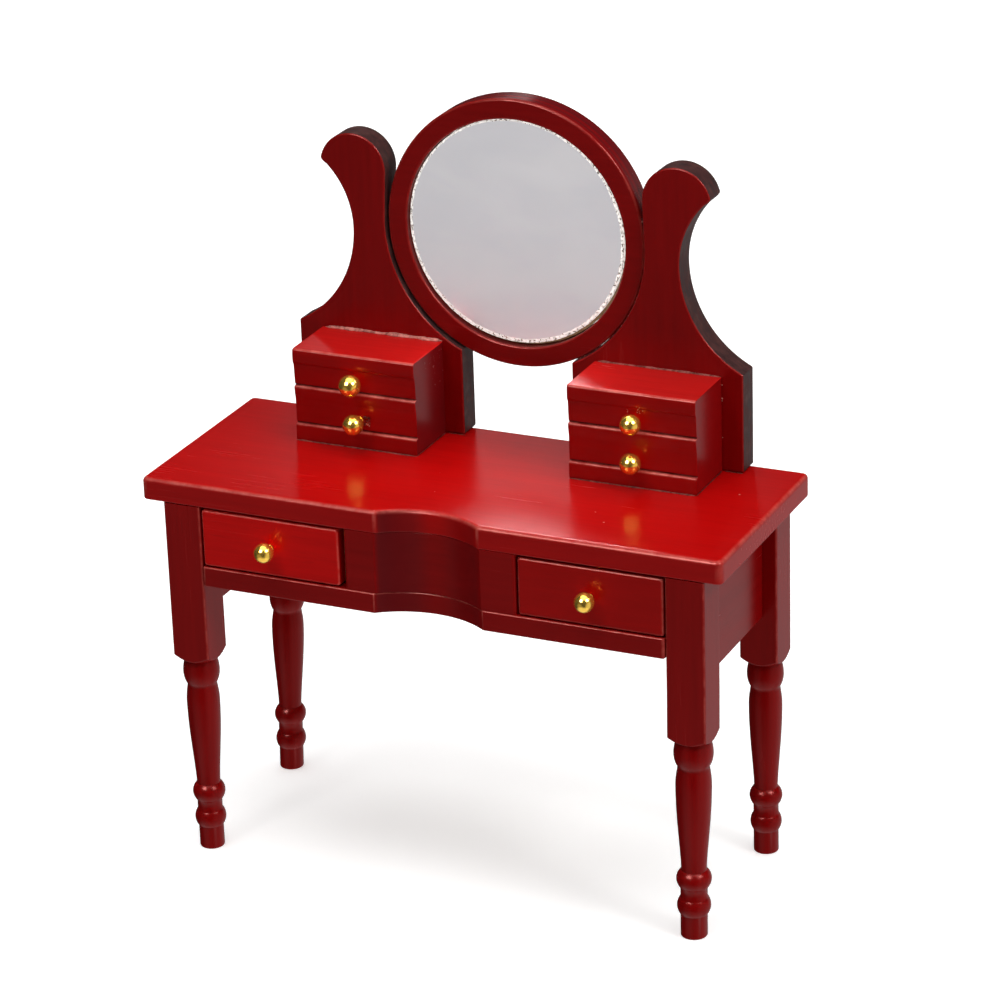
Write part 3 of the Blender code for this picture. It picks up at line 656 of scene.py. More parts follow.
def revolve(profile, steps, place, closed=False, wear=None, soot=None):
    """A turned shape from (radius, height) down its outer side. place turns (x, y, height) into a point."""
    shape = bmesh.new()
    layer = shape.verts.layers.float.new("wear")
    stain = shape.verts.layers.float.new("soot")
    rows = []
    for index, (radius, height) in enumerate(profile):
        count = 1 if radius == 0 else steps
        row = []
        for step in range(count):
            angle = 2 * math.pi * step / steps
            vertex = shape.verts.new(place(radius * math.cos(angle), radius * math.sin(angle), height))
            vertex[layer] = wear[index] if wear else 0.0
            vertex[stain] = soot[index] if soot else 0.0
            row.append(vertex)
        rows.append(row)
    pairs = list(zip(rows, rows[1:]))
    if closed:
        pairs.append((rows[-1], rows[0]))
    for upper, lower in pairs:
        for step in range(steps):
            following = (step + 1) % steps
            if len(upper) == 1:
                shape.faces.new((upper[0], lower[step], lower[following]))
            elif len(lower) == 1:
                shape.faces.new((upper[step], lower[0], upper[following]))
            else:
                shape.faces.new((upper[step], lower[step], lower[following], upper[following]))
    return shape


def flat_plan(u, v, level):
    """A place on a board that lies flat."""
    return u, v, level


def facing_plan(u, v, level):
    """A place on a board that faces the sitter."""
    return u, level, v


def side_plan(u, v, level):
    """A place on a board that stands along the side."""
    return level, u, v


# ---- boards

TOP_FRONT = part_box("tabletop")[0].y
CARCASE_MIDDLE = (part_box("leg_front_left")[0].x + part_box("leg_rear_right")[1].x) / 2


def recess_shade(across):
    """The share of painted shade along the recess, from -1 at its left end to 1 at its right end."""
    for (start, first), (end, last) in zip(RECESS_SHADES, RECESS_SHADES[1:]):
        if across <= end:
            return first + (last - first) * (across - start) / (end - start)
    return 0.0


def recess_outline(low, high, half):
    """The plan of a board whose front has the shallow concave arc, from its box."""
    reach = RECESS_DEPTH - (low.y - TOP_FRONT)
    radius = (half ** 2 + reach ** 2) / (2 * reach)
    swing = math.degrees(math.asin(half / radius))
    centre = (CARCASE_MIDDLE, TOP_FRONT + RECESS_DEPTH - radius)
    hollow = arc(centre, radius, 90 + swing, 90 - swing, RECESS_STEPS)
    return [(low.x, low.y), *hollow, (high.x, low.y), (high.x, high.y), (low.x, high.y)]


def build_front():
    """The top, the middle block and the rail, which share the recess."""
    for node, (half, rounds, worn, steps) in RECESSED_BOARDS.items():
        low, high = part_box(node)
        is_top = node == "tabletop"

        def corner_size(corner):
            if is_top and corner[0] in (low.x, high.x):
                return TOP_CORNER
            return TOP_RECESS_CORNER if is_top else FRONT_CORNER

        def stain(u, v):
            across = (u - CARCASE_MIDDLE) / half
            # Painted shade: the recess's face is darkened, most towards its ends.
            if abs(across) < 1.0 and v < low.y + RECESS_DEPTH + 0.2 * MM:
                return recess_shade(across)
            return TOP_EDGE_DARKENING if is_top else 0.0

        # The lacquer fills the glue lines above and below the block.
        fill = GLUE_FILL if node == "centre_block" else 0.0
        outline = rounded(recess_outline(low, high, half), corner_size, 6)
        ends = (low.z - fill, high.z + fill)
        shape = slab(outline, ends, rounds, flat_plan, steps, 0.01 * MM, stain, worn, fan=False)
        settle(node + "_board", shape, node, "red_lacquer", ["red_x" if is_top else "aged_x"])


def box_board(node, slot, material, edge):
    """A rectangular board in a node's box, with rounded arrises."""
    low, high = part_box(node)
    thin = min(range(3), key=lambda axis: high[axis] - low[axis])
    place = (side_plan, facing_plan, flat_plan)[thin]
    u, v = [axis for axis in range(3) if axis != thin]
    corners = [(low[u], low[v]), (high[u], low[v]), (high[u], high[v]), (low[u], high[v])]
    outline = rounded(corners, edge * 1.05, 3)
    shape = slab(outline, (low[thin], high[thin]), (edge, edge), place, 3, 0.008 * MM)
    settle(node + "_board", shape, node, slot, [material])


def build_boards():
    """The aprons, the running gear and the drawers' boards."""
    for side in SIDES:
        box_board(f"side_apron_{side}", "red_lacquer", "aged_y", 0.2 * MM)
        box_board(f"drawer_guide_{side}", "bare_wood", "bare_y", 0.1 * MM)
        for part in ("wall_left", "wall_right", "bottom"):
            box_board(f"drawer_{side}_{part}", "bare_wood", "bare_y", 0.12 * MM)
        box_board(f"drawer_{side}_back", "bare_wood", "bare_x", 0.12 * MM)
    box_board("back_apron", "red_lacquer", "aged_x", 0.2 * MM)
    box_board("drawer_shelf", "bare_wood", "bare_x", 0.1 * MM)


def build_drawer_fronts():
    """Drawer fronts, rounded on the face and square behind."""
    # Painted light on the left front and painted shade on the right one, as lighter and darker copies.
    for side, stain in zip(SIDES, ("fresh_x", "shaded_x")):
        node = f"drawer_{side}_front"
        low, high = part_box(node)
        corners = [(low.x, low.z), (high.x, low.z), (high.x, high.z), (low.x, high.z)]
        outline = rounded(corners, FRONT_CORNER, 5)
        shape = slab(outline, (low.y, high.y), (0.45 * MM, 0.12 * MM), facing_plan, 5, 0.012 * MM)
        settle(node + "_board", shape, node, "red_lacquer", [stain])


# ---- legs


def swell(low, high, radius_low, radius_high, radius_peak):
    """A turned bead between two heights, from its top down."""
    points = []
    for step in range(TURNING_STEPS + 1):
        t = 1 - step / TURNING_STEPS
        waist = radius_low + (radius_high - radius_low) * t
        points.append((waist + (radius_peak - waist) * math.sin(math.pi * t) ** 0.75, low + (high - low) * t))
    return points


def vase(low, high, radius_low, radius_high, radius_peak):
    """The long vase of the leg, from its top down."""
    points = []
    for step in range(1, 9):
        rise = 1 - step / 8
        radius = radius_high + (radius_peak - radius_high) * math.cos(math.pi / 2 * rise)
        points.append((radius, low + (high - low) * (VASE_PEAK + (1 - VASE_PEAK) * rise)))
    for step in range(1, TURNING_STEPS + 1):
        fall = 1 - step / TURNING_STEPS
        radius = radius_low + (radius_peak - radius_low) * math.sin(math.pi / 2 * fall) ** 1.4
        points.append((radius, low + (high - low) * VASE_PEAK * fall))
    return points


def leg_profile(top):
    """Radius and height down the leg."""
    shoulder = []
    for step in range(1, TURNING_STEPS + 1):
        t = 1 - step / TURNING_STEPS
        radius = BEAD_TOP_RADIUS + (BLANK_RADIUS - BEAD_TOP_RADIUS) * t
        shoulder.append((radius, BEAD_HIGH + SHOULDER_HEIGHT * (0.7 * t + 0.3 * t ** 2)))
    foot = [(FOOT_RADIUS - inwards, height) for height, inwards in foot_round()]
    return [
        (BLANK_RADIUS, top),
        (BLANK_RADIUS, LEAN_START),
        (BLANK_RADIUS, BEAD_HIGH + SHOULDER_HEIGHT),
        *shoulder,
        *swell(BEAD_LOW, BEAD_HIGH, WAIST_RADIUS, BEAD_TOP_RADIUS, BEAD_RADIUS)[1:],
        *vase(VASE_LOW, BEAD_LOW, TAPER_RADIUS, WAIST_RADIUS, VASE_RADIUS),
        *swell(UPPER_RING_LOW, VASE_LOW, FOOT_RADIUS, TAPER_RADIUS, UPPER_RING_RADIUS)[1:],
        *swell(LOWER_RING_LOW, LOWER_RING_HIGH, FOOT_RADIUS, FOOT_RADIUS, LOWER_RING_RADIUS),
        *foot,
    ]


def foot_round():
    """Heights and insets round the foot's lower arris, from above."""
    return [(level, depth) for level, depth, _ in arris(0.0, FOOT_ROUND, 1, 4)[::-1]]


def square_reach(angle, half, corner):
    """Distance from the middle of a square with rounded corners to its side, at an angle."""
    across = abs(math.cos(angle))
    up = abs(math.sin(angle))
    reach = half / max(across, up)
    inner = half - corner
    if min(across, up) * reach <= inner:
        return reach
    towards = (across + up) * inner
    return towards + math.sqrt(towards ** 2 - 2 * inner ** 2 + corner ** 2)


def leg_angles():
    """Angles round the leg, closer together at the square's corners."""
    angles = []
    for base in (0.0, 90.0, 180.0, 270.0):
        for start, width, steps in ((0.0, 41.5, 10), (41.5, 7.0, 6), (48.5, 41.5, 10)):
            angles += [math.radians(base + start + width * step / steps) for step in range(steps)]
    return angles


def leg_rings(node):
    """Rings down a leg: the turning, cut off by the square blank above."""
    low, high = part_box(node)
    # The block's right face is the box's; a leaning leg's foot may reach past its left face.
    half = (high.y - low.y) / 2
    centre = Vector((high.x - half, (low.y + high.y) / 2, 0.0))
    rings = []
    for radius, height in leg_profile(high.z):
        turned = radius * LEG_STOUTNESS.get(node, 1.0)
        shift = LEG_LEANS.get(node, 0.0) * max(LEAN_START - height, 0.0) / LEAN_START
        ring = []
        for angle in leg_angles():
            square = square_reach(angle, half, LEG_CORNER)
            reach = min(turned, square)
            # The square's corners take rubbing and painted highlight.
            near_corner = max(0.0, 1.0 - abs(math.degrees(angle) % 90.0 - 45.0) / 3.5)
            place = centre + Vector((reach * math.cos(angle) - shift, reach * math.sin(angle), height))
            ring.append((place, near_corner if square < turned else 0.0))
        rings.append(ring)
    return rings


def build_legs():
    """Four turned legs, square above."""
    for row in ("front", "rear"):
        for side in SIDES:
            node = f"leg_{row}_{side}"
            settle(node + "_turned", loft(leg_rings(node)), node, "red_lacquer", ["aged_z"], sharp=50.0)


# ---- knobs and pins


def knob_profile(ball, neck, pin):
    """Radius and height of a knob above the wood, from the tip down to the end of its pin."""
    centre = COLLAR_THICKNESS + neck + ball
    last = 180 - math.degrees(math.asin(NECK_RADIUS / ball))
    points = [(0.0, centre + ball)]
    for step in range(1, 25):
        angle = math.radians(last * step / 24)
        points.append((ball * math.sin(angle), centre + ball * math.cos(angle)))
    return points + [
        (NECK_RADIUS, COLLAR_THICKNESS + COLLAR_BEVEL),
        (NECK_RADIUS + COLLAR_BEVEL, COLLAR_THICKNESS),
        (COLLAR_RADIUS - COLLAR_BEVEL, COLLAR_THICKNESS),
        (COLLAR_RADIUS, COLLAR_THICKNESS - COLLAR_BEVEL),
        (COLLAR_RADIUS, 0.0),
        (KNOB_PIN_RADIUS, 0.0),
        (KNOB_PIN_RADIUS, -pin),
        (0.0, -pin),
    ]


def towards_sitter(middle):
    """A place function for a shape turned about an axis that points at the sitter."""
    return lambda x, y, height: middle + Vector((x, -height, y))


def build_knobs():
    """Six brass ball knobs."""
    nodes = [f"drawer_{side}_knob" for side in SIDES]
    nodes += [f"cabinet_{side}_knob_{level}" for side in SIDES for level in ("upper", "lower")]
    for node in nodes:
        low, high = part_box(node)
        ball = (high.z - low.z) / 2
        neck = KNOB_NECKS.get(node, KNOB_NECKS[node.split("_")[0]])
        reach = COLLAR_THICKNESS + neck + 2 * ball
        pin = (high.y - low.y) - reach
        middle = Vector(((low.x + high.x) / 2, low.y + reach, (low.z + high.z) / 2))
        shape = revolve(knob_profile(ball, neck, pin), 48, towards_sitter(middle))
        settle(node + "_ball", shape, node, "brass", ["brass"], weighted=False)


def build_pins():
    """The two pins that the mirror turns on."""
    chamfer = 0.08 * MM
    for side in SIDES:
        node = f"pivot_pin_{side}"
        low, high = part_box(node)
        radius = (high.z - low.z) / 2
        middle = (low + high) / 2

        def place(x, y, height):
            return Vector((height, middle.y + x, middle.z + y))

        profile = [
            (0.0, low.x),
            (radius - chamfer, low.x),
            (radius, low.x + chamfer),
            (radius, high.x - chamfer),
            (radius - chamfer, high.x),
            (0.0, high.x),
        ]
        settle(node + "_wire", revolve(profile, 24, place), node, "brass", ["brass"], weighted=False)


# ---- cabinets


def ridge_outline(face, level):
    """One ridge of a cabinet's front, from the groove above it down to its crest."""
    panel = face + PANEL_SET_BACK
    groove = face + GROOVE_SET_BACK
    crest = face + RIDGE_SET_BACK
    return [
        (panel, level + GROOVE_HEIGHT + 0.12 * MM),
        (panel + 0.04 * MM, level + GROOVE_HEIGHT),
        (groove, level + GROOVE_HEIGHT * 0.6),
        (groove, level + GROOVE_HEIGHT * 0.3),
        (crest + 0.22 * MM, level + 0.03 * MM),
        (crest + 0.09 * MM, level - 0.04 * MM),
        (crest + 0.02 * MM, level - 0.14 * MM),
        (crest, level - 0.28 * MM),
        (crest, level - 0.42 * MM),
    ]


def cabinet_outline(low, high):
    """Depth against height round a cabinet's end: a bold nose, then panels between fine ridges."""
    base = low.z
    top = high.z
    # The nose's belly is the furthest point forwards.
    face = low.y + NOSE_BELLY
    crest = face + RIDGE_SET_BACK
    dip = PANEL_SET_BACK - RIDGE_SET_BACK - 0.05 * MM
    outline = [(high.y, top)]
    outline += [(face + depth, level) for level, depth, _ in arris(top, NOSE_ROUND, -1, 6)]
    nose = top - (base + NOSE_LOW)
    for step in range(1, 8):
        t = step / 8
        outline.append((face - NOSE_BELLY * math.sin(math.pi * t), top - NOSE_ROUND - (nose - 0.8 * MM) * t))
    outline += [
        (face, base + NOSE_LOW + 0.3 * MM),
        (face + 0.08 * MM, base + NOSE_LOW + 0.12 * MM),
        (face + 0.25 * MM, base + NOSE_LOW),
    ]
    outline += ridge_outline(face, base + RIDGES[0])
    for step in range(1, 7):
        t = step / 6
        ease = t * t * (3 - 2 * t)
        fall = 0.5 * MM + RIDGE_HEIGHT * 1.6 * t
        outline.append((crest + dip * ease, base + RIDGES[0] - fall))
    outline += ridge_outline(face, base + RIDGES[1])
    outline += [(crest, base + 0.15 * MM), (crest + 0.1 * MM, base), (high.y, base)]
    return [(u, v, 0.0) for u, v in outline]


def cabinet_stations(low, high):
    """Places along a cabinet with their insets, rounded off at both ends."""
    length = high.x - low.x - 2 * CABINET_EDGE
    stations = [station[:2] for station in arris(low.x, CABINET_EDGE, 1, 3)[:-1]]
    for index in range(CABINET_SLICES + 1):
        stations.append((low.x + CABINET_EDGE + length * index / CABINET_SLICES, 0.0))
    return stations + [station[:2] for station in arris(high.x, CABINET_EDGE, -1, 3)[-2::-1]]


def cabinet_marks(u, v, low, high):
    """The shares of rubbing and painted highlight, and of painted shade, at a place on a cabinet: painted
    highlight on the crests and the nose's top arris, painted shade in the grooves.
    """
    crest = min(abs(v - (low.z + ridge - 0.06 * MM)) for ridge in RIDGES)
    share = max(0.0, 1.9 - 1.9 * crest / (0.30 * MM))
    grooved = any(0.05 * MM < v - (low.z + ridge) < 0.40 * MM for ridge in RIDGES)
    if abs(v - high.z) < 0.35 * MM and u < low.y + 0.5 * MM:
        share = 0.8
    return share, 1.0 if grooved and u < low.y + 2.0 * MM else 0.0


def build_cabinets():
    """Two solid blocks milled across the front."""
    for side in SIDES:
        node = f"cabinet_{side}"
        low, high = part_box(node)
        outline = cabinet_outline(low, high)
        stations = cabinet_stations(low, high)
        rings = []
        for x, depth in stations:
            ring = []
            for u, v, _ in inset(outline, depth):
                stray = noise.noise(Vector((x * 90.0, v * 260.0, 7.0 if side == "left" else 21.0)))
                forward = 0.018 * MM * (1.0 + stray) if u < high.y - 1.0 * MM else 0.0
                lift = 0.02 * MM * noise.noise(Vector((x * 140.0, v * 90.0, 3.0)))
                height = min(v + lift, high.z) if v > low.z + 0.5 * MM else v
                point = Vector((x, u + forward, height))
                ring.append((point, *cabinet_marks(u, v, low, high)))
            rings.append(ring)
        rings[0] = [(point, 0.0, 0.0) for point, *_ in rings[0]]
        # Painted shade on the right end.
        rings[-1] = [(point, 0.0, END_SHADES[side]) for point, *_ in rings[-1]]
        shape = loft(rings)
        shape.normal_update()
        # Painted light and shade: the tops take the lighter copy of the lacquer, the other faces the darker
        # one.
        for face in shape.faces:
            on_top = face.calc_center_median().z > high.z - 0.5 * MM
            face.material_index = 1 if face.normal.z > 0.7 and on_top else 0
        settle(node + "_block", shape, node, "red_lacquer", ["shaded_x", "bright_x"], sharp=32.0)


# ---- uprights and mirror

RING_LOW, RING_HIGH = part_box("mirror_frame")
MIRROR_MIDDLE = (RING_LOW + RING_HIGH) / 2
RING_OUTER = (RING_HIGH.x - RING_LOW.x) / 2


def upright_outline(side, low, high):
    """The scrolled board seen from the front."""
    inner = min(abs(low.x - MIRROR_MIDDLE.x), abs(high.x - MIRROR_MIDDLE.x))
    outer = max(abs(low.x - MIRROR_MIDDLE.x), abs(high.x - MIRROR_MIDDLE.x))
    notch = RING_OUTER + NOTCH_GAPS[side]
    notch_start = math.degrees(math.acos(inner / notch))
    lower_centre = (WAIST_X + LOWER_SCROLL_RADIUS, WAIST_Z)
    upper_centre = (WAIST_X + UPPER_SCROLL_RADIUS, WAIST_Z)
    base_turn = math.degrees(math.acos((lower_centre[0] - outer) / LOWER_SCROLL_RADIUS))
    head = arc((HEAD_X, HEAD_Z), HEAD_RADIUS, 180, HEAD_END_ANGLE, 40)
    upper_scroll = arc(upper_centre, UPPER_SCROLL_RADIUS, UPPER_SCROLL_END_ANGLE, 180, 18)
    lower_scroll = arc(lower_centre, LOWER_SCROLL_RADIUS, 180, 180 + base_turn, 26)
    tip = Vector((head[-1][0] + 0.4 * MM, (head[-1][1] + upper_scroll[0][1]) / 2))
    start, end = Vector(head[-1]), Vector(upper_scroll[0])
    points = [
        (inner, low.z),
        *arc((0, MIRROR_MIDDLE.z), notch, -notch_start, 0, 34),
        *head,
        *[tuple(bend(start, tip, end, step / 8)) for step in range(1, 8)],
        *upper_scroll,
        *lower_scroll[1:],
        (outer, low.z),
    ]
    return [(MIRROR_MIDDLE.x + side * x, z) for x, z in points]


def build_uprights():
    """Two scrolled boards with stained faces and dark sawn edges."""
    for name, side in zip(SIDES, (-1, 1)):
        node = f"upright_{name}"
        low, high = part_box(node)
        outline = rounded(upright_outline(side, low, high), 0.32 * MM, 4)
        rounds = (0.3 * MM, 0.3 * MM)
        shape = slab(outline, (low.y, high.y), rounds, facing_plan, 4, 0.01 * MM, worn=(0.5, 0.2), fan=False)
        shape.normal_update()
        for face in shape.faces:
            face.material_index = 1 if abs(face.normal.y) < 0.55 else 0
        settle(node + "_board", shape, node, "dark_red_lacquer", ["dark_z", "sawn"], sharp=36.0)


def build_ring():
    """The mirror's turned ring, darker on its side, with painted shade on its inner wall."""
    half = (RING_HIGH.y - RING_LOW.y) / 2
    level = half - RING_ROUND
    outer = RING_OUTER - RING_ROUND
    profile = arc((outer, level), RING_ROUND, 90, 0, RING_ROUND_STEPS)
    profile += [(RING_OUTER, half * place) for place, _ in RING_SIDE]
    profile += arc((outer, -level), RING_ROUND, 0, -90, RING_ROUND_STEPS)
    profile += [(RING_INNER, -half), (RING_INNER, level)]
    profile += arc((RING_INNER + RING_ROUND, level), RING_ROUND, 180, 90, RING_ROUND_STEPS)[1:]
    worn = [math.sin(math.pi * step / RING_ROUND_STEPS) for step in range(RING_ROUND_STEPS + 1)]
    wear = worn + [0.0] * len(RING_SIDE) + worn + [0.0, 0.0] + [0.5 * share for share in worn[1:]]
    # Darker on the side and behind, with painted shade on the inner wall and the inner arris.
    soot = [0.0] * 5 + [0.3] + [share for _, share in RING_SIDE] + [0.6] * 6
    soot += [1.0, 1.0, 0.8, 0.35] + [0.0] * 3
    ring = revolve(profile, 180, towards_sitter(MIRROR_MIDDLE), closed=True, wear=wear, soot=soot)
    settle("mirror_frame_ring", ring, "mirror_frame", "dark_red_lacquer", ["dark_x"], sharp=50.0)


def build_glass():
    """The mirror disc with its nibbled edge."""
    low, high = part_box("mirror_glass")
    radius = (high.x - low.x) / 2
    middle = (low + high) / 2
    draw = random.Random(5)
    rows = ([], [], [], [], [])
    for step in range(GLASS_STEPS):
        angle = 2 * math.pi * step / GLASS_STEPS
        nibble = abs(noise.noise(Vector((math.cos(angle) * 26.0, math.sin(angle) * 26.0, 1.7))))
        bite = 0.05 * MM * nibble + 0.04 * MM * draw.random()
        # The disc sits low in its seat, so more of its cut edge shows at the bottom.
        low_side = 0.5 - 0.5 * math.sin(angle + 0.35)
        width = GLASS_CHAMFER * (0.16 + 1.15 * low_side + 0.30 * nibble) + 0.06 * MM * (draw.random() - 0.5)
        sizes = (
            (radius - width - bite, low.y),
            (radius - width * 0.55 - bite, low.y + 0.05 * MM + 0.05 * MM * draw.random()),
            (radius - width * 0.25 - bite, low.y + 0.14 * MM + 0.06 * MM * draw.random()),
            (radius - bite * 0.5, low.y + 0.32 * MM),
            (radius - 0.05 * MM, high.y),
        )
        for row, (reach, depth) in zip(rows, sizes):
            place = Vector((middle.x + reach * math.cos(angle), depth, middle.z + reach * math.sin(angle)))
            row.append((place, 0.0))
    shape = loft(rows)
    for face in shape.faces:
        face.material_index = 0 if len(face.verts) > 4 else 1
    materials = ["mirror", "glass_edge"]
    settle("mirror_glass_disc", shape, "mirror_glass", "mirror", materials, sharp=14.0, weighted=False)


def build_backing():
    """The bare disc behind the mirror."""
    low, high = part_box("mirror_back")
    radius = (high.x - low.x) / 2
    middle = (low + high) / 2
    edge = 0.15 * MM

    def place(x, y, height):
        return Vector((middle.x + x, height, middle.z + y))

    profile = [
        (0.0, low.y),
        (radius, low.y),
        (radius, high.y - edge),
        (radius - edge * 0.3, high.y - edge * 0.3),
        (radius - edge, high.y),
        (0.0, high.y),
    ]
    shape = revolve(profile, 120, place)
    settle("mirror_back_disc", shape, "mirror_back", "bare_wood", ["bare_x"], sharp=30.0)


# ---- glue and small marks


def settle_mark(name, shape, node):
    """Turn a bmesh into a mark of glue, dust or painted shade on a node."""
    settle(name, shape, node, None, ["glue"], sharp=60.0, weighted=False)


def glue_line(name, node, start, end, radius, pale, seed):
    """An uneven bead of glue along a joint, as a bent tube with ragged width."""
    start, end = Vector(start), Vector(end)
    along = (end - start).normalized()
    side = along.cross(Vector((0, 0, 1))).normalized()
    up = side.cross(along)
    steps = max(int((end - start).length / (0.22 * MM)), 8)
    rings = []
    for step in range(steps + 1):
        t = step / steps
        tip = math.sin(math.pi * min(t * 8, (1 - t) * 8, 0.5))
        fullness = 0.80 + 0.5 * noise.noise(Vector((t * 9.0, seed, 0.0)))
        fullness += 0.25 * noise.noise(Vector((t * 50.0, seed, 4.0)))
        size = radius * max(fullness, 0.5) * max(tip, 0.12)
        stray = side * noise.noise(Vector((t * 9.0, seed, 8.0))) * radius * 0.5
        rings.append(oval(start.lerp(end, t) + stray, side * size, up * size * 0.7, 10, pale))
    settle_mark(name, loft(rings), node)


def notch_dust():
    """A dark strip flecked pale, laid in the gap between the ring and the right upright's notch, clear of the
    ring's sweep: painted shade in the gap.
    """
    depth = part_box("upright_right")[0].y + 0.9 * MM
    rings = []
    steps = 260
    for step in range(steps + 1):
        angle = math.radians(-62.0 + 75.0 * step / steps)
        pale = 1.0 if noise.noise(Vector((step * 0.37, 2.0, 0.0))) > 0.28 else 0.0
        size = 0.082 * MM * (1.0 + 0.1 * noise.noise(Vector((step * 0.5, 0.0, 6.0))))
        out = Vector((math.cos(angle), 0.0, math.sin(angle)))
        middle = MIRROR_MIDDLE + out * (RING_OUTER + 0.10 * MM)
        middle.y = depth
        rings.append(oval(middle, out * size, Vector((0, 3.0 * size, 0)), 8, pale))
    settle_mark("notch_dust", loft(rings), "upright_right")


def glue_bit(name, node, place, size, pale, seed):
    """A small crumb of dried glue."""
    shape = bmesh.new()
    layer = shape.verts.layers.float.new("wear")
    bmesh.ops.create_icosphere(shape, subdivisions=2, radius=1.0)
    for vertex in shape.verts:
        stretch = 0.8 + 0.7 * noise.noise(vertex.co * 1.7 + Vector((seed, 0.0, 0.0)))
        vertex[layer] = pale
        vertex.co = Vector(place) + Vector([c * s * stretch for c, s in zip(vertex.co, size)])
    settle_mark(name, shape, node)


def build_glue():
    """Glue squeezed out round the cabinets. The bead on the left one's top is wider and paler."""
    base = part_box("tabletop")[1].z + 0.06 * MM
    top_beads = ((0.55 * MM, 1.0), (0.28 * MM, 0.35))
    for seed, side, (width, pale) in zip((3, 4), SIDES, top_beads):
        node = f"cabinet_{side}"
        low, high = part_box(node)
        front = low.y + 0.12 * MM
        joint = high.z + 0.05 * MM
        corner = (high.x, front, base)
        left, right = (low.x - 0.1 * MM, front, base), (high.x, high.y, base)
        glue_line(f"{node}_base_glue", "tabletop", left, corner, 0.17 * MM, 0.14, seed * 1.7)
        glue_line(f"{node}_side_glue", "tabletop", corner, right, 0.11 * MM, 0.0, seed * 2.3)
        left, right = (low.x + 0.6 * MM, high.y, joint), (high.x - 0.1 * MM, high.y, joint)
        glue_line(f"{node}_top_glue", node, left, right, width, pale, seed * 3.1)
        left, right = (high.x + 0.4 * MM, high.y, base), (high.x + 3.6 * MM, high.y, base)
        glue_line(f"upright_{side}_foot_glue", "tabletop", left, right, 0.10 * MM, 0.1, seed * 4.3)


def build_crumbs():
    """Dried glue and dust round the knobs, and in the corner between the right cabinet and its upright."""
    draw = random.Random(11)
    low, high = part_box("cabinet_left_knob_upper")
    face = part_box("cabinet_left")[0].y + 0.45 * MM
    speck = ((low.x + high.x) / 2 - 0.6 * MM, face, low.z - 1.0 * MM)
    glue_bit("speck_between_knobs", "cabinet_left", speck, (0.12 * MM, 0.07 * MM, 0.14 * MM), 1.0, 2.0)

    low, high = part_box("cabinet_left_knob_lower")
    beside_knob = Vector((high.x - 0.55 * MM, face - 0.08 * MM, (low.z + high.z) / 2))
    for index in range(30):
        spread = Vector((draw.uniform(-0.35, 0.60), draw.uniform(-0.30, 0.0), draw.uniform(-0.80, 0.75))) * MM
        size = draw.uniform(0.12, 0.24) * MM
        pale = 1.0 if spread.z < -0.45 * MM and spread.x > 0.0 else 0.0
        place = beside_knob + spread
        glue_bit(f"knob_glue_{index}", "cabinet_left", place, (size, 0.5 * size, size), pale, 5.0 + index)

    low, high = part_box("cabinet_right_knob_upper")
    above_knob = Vector(((low.x + high.x) / 2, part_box("cabinet_right")[0].y + 0.08 * MM, high.z))
    for index in range(26):
        place = above_knob + Vector((draw.uniform(-1.2, 1.8), 0.0, draw.uniform(-0.2, 1.2))) * MM
        size = draw.uniform(0.04, 0.085) * MM
        glue_bit(f"knob_dust_{index}", "cabinet_right", place, (size, 0.6 * size, size), 0.8, 20.0 + index)

    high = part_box("cabinet_right")[1]
    for index, (drop, size) in enumerate(((1.3, 0.1), (3.6, 0.15), (4.0, 0.1), (10.3, 0.1))):
        place = (high.x + 0.08 * MM, high.y, high.z - drop * MM)
        sizes = (size * MM, size * MM, 1.4 * size * MM)
        glue_bit(f"corner_glue_{index}", "cabinet_right", place, sizes, 1.0, 40.0 + index)


# ---- room


def build_floor():
    """A plain pale floor."""
    shape = bmesh.new()
    bmesh.ops.create_grid(shape, x_segments=1, y_segments=1, size=FLOOR_HALF)
    floor = add_object("floor", shape)
    material, tree = new_material("pale_floor")
    speckle = noise_value(tree, EVEN, 900.0, 3.0, 0.5)
    shade(tree, {
        "Base Color": mix_colour(tree, speckle, (0.86, 0.86, 0.86), (0.90, 0.90, 0.90)),
        "Roughness": 0.9,
        "Specular IOR Level": 0.1,
        "Emission Color": WHITE,
        "Emission Strength": 0.5,
    })
    floor.data.materials.append(material)
    # The surround, not the floor, is what the object reflects.
    floor.visible_diffuse = False
    floor.visible_glossy = False


def build_backdrop():
    """A pale backdrop all round, which only the camera sees."""
    shape = bmesh.new()
    bmesh.ops.create_uvsphere(shape, u_segments=48, v_segments=24, radius=BACKDROP_RADIUS)
    backdrop = add_object("backdrop", shape)
    material, tree = new_material("pale_backdrop")
    weave = noise_value(tree, EVEN, 300.0, 3.0, 0.5)
    shade(tree, {
        "Emission Color": mix_colour(tree, weave, (0.97, 0.97, 0.97), WHITE),
        "Emission Strength": 1.05,
        "Specular IOR Level": 0.0,
    })
    backdrop.data.materials.append(material)
    backdrop.visible_diffuse = False
    backdrop.visible_glossy = False
    backdrop.visible_transmission = False
    backdrop.visible_shadow = False


def bearing(azimuth, elevation):
    """The direction of a place seen from the object. Azimuth runs from the front to the right."""
    turn, rise = math.radians(azimuth), math.radians(elevation)
    return Vector((math.sin(turn) * math.cos(rise), -math.cos(turn) * math.cos(rise), math.sin(rise)))


def add_lamp(name, light, looks):
    """A lamp in the scene that looks in a direction."""
    lamp = bpy.data.objects.new(name, light)
    lamp.rotation_euler = Vector(looks).to_track_quat("-Z", "Y").to_euler()
    bpy.context.scene.collection.objects.link(lamp)
    return lamp


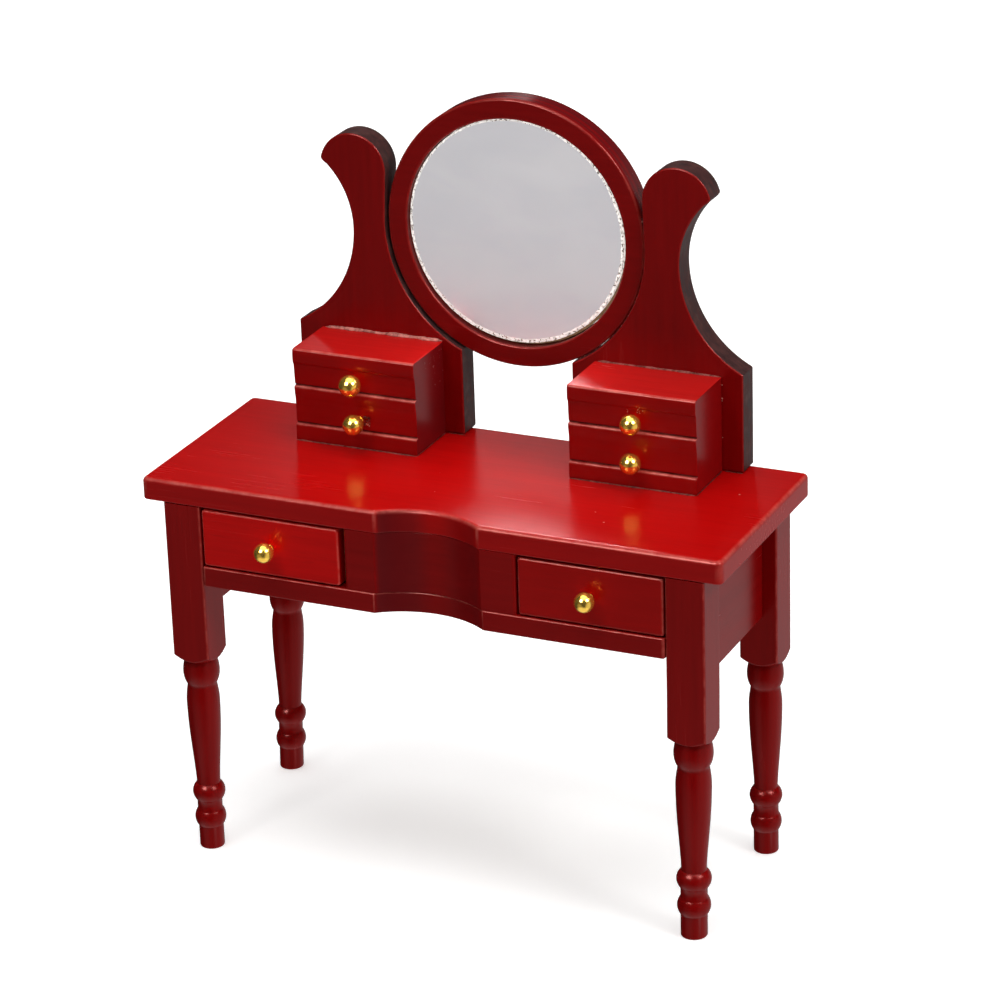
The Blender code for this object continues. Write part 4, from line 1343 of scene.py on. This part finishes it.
def soft_box(name, azimuth, elevation, distance, size, radiance):
    """A rectangular soft box that looks at the object's middle.

    A shine box shows in the lacquer and the brass, and adds no other light.
    """
    light = bpy.data.lights.new(name, "AREA")
    light.shape = "RECTANGLE"
    light.size, light.size_y = size
    light.energy = radiance * math.pi * size[0] * size[1]
    back = bearing(azimuth, elevation)
    lamp = add_lamp(name, light, -back)
    lamp.location = LIT_MIDDLE + back * distance
    lamp.visible_camera = False
    lamp.visible_diffuse = not name.endswith("shine")


def build_lights():
    """A broad overhead light, the boxes on either side, and a low one behind that skims the top."""
    sun = bpy.data.lights.new("overhead", "SUN")
    sun.energy = 2.4
    sun.angle = math.radians(60)
    add_lamp("overhead", sun, (0.0, 0.03, -1.0))
    for name, setting in SOFT_BOXES.items():
        soft_box(name, *setting)


def lobe(tree, direction, spread, strength):
    """A soft patch of light in the surround, towards a direction. The spread is its half-width in degrees."""
    coordinates = tree.nodes.new("ShaderNodeTexCoord")
    closeness = tree.nodes.new("ShaderNodeVectorMath")
    closeness.operation = "DOT_PRODUCT"
    feed(tree, closeness.inputs[0], coordinates.outputs["Generated"])
    feed(tree, closeness.inputs[1], Vector(direction).normalized())
    ramp = add_node(tree, "MapRange", {
        "Value": closeness.outputs["Value"],
        "From Min": math.cos(math.radians(spread * 1.3)),
        "From Max": math.cos(math.radians(spread * 0.5)),
        "To Max": strength,
    })
    ramp.interpolation_type = "SMOOTHSTEP"
    return ramp.outputs["Result"]


def build_surround():
    """Pale card below the object, in front for the mirror and behind for the sides; dark studio elsewhere."""
    world = bpy.data.worlds.new("surround")
    world.use_nodes = True
    tree = world.node_tree
    lobes = [lobe(tree, *setting) for setting in SURROUND_LOBES]
    background = tree.nodes["Background"]
    feed(tree, background.inputs["Strength"], total(tree, *lobes, SURROUND_BASE))
    feed(tree, background.inputs["Color"], WHITE)
    world.cycles.sampling_method = "NONE"
    bpy.context.scene.world = world


def build_camera():
    """The camera in front of the object, above it and to its right, with a small roll."""
    data = bpy.data.cameras.new("camera")
    data.lens = CAMERA_LENS
    data.sensor_width = 36.0
    data.clip_start, data.clip_end = 0.01, 20.0
    camera = bpy.data.objects.new("camera", data)
    turn, roll = math.radians(CAMERA_AZIMUTH), math.radians(CAMERA_ROLL)
    back = bearing(CAMERA_AZIMUTH, CAMERA_ELEVATION)
    level = Vector((math.cos(turn), math.sin(turn), 0.0))
    above = back.cross(level)
    right = level * math.cos(roll) + above * math.sin(roll)
    up = back.cross(right)
    camera.matrix_world = Matrix.Translation(CAMERA_PLACE) @ Matrix((right, up, back)).transposed().to_4x4()
    bpy.context.scene.collection.objects.link(camera)
    bpy.context.scene.camera = camera


build_camera()
build_front()
build_boards()
build_drawer_fronts()
build_legs()
build_knobs()
build_pins()
build_cabinets()
build_uprights()
build_ring()
build_glass()
build_backing()
build_glue()
notch_dust()
build_crumbs()
build_floor()
build_backdrop()
build_surround()
build_lights()
bpy.context.scene.view_settings.view_transform = "Standard"
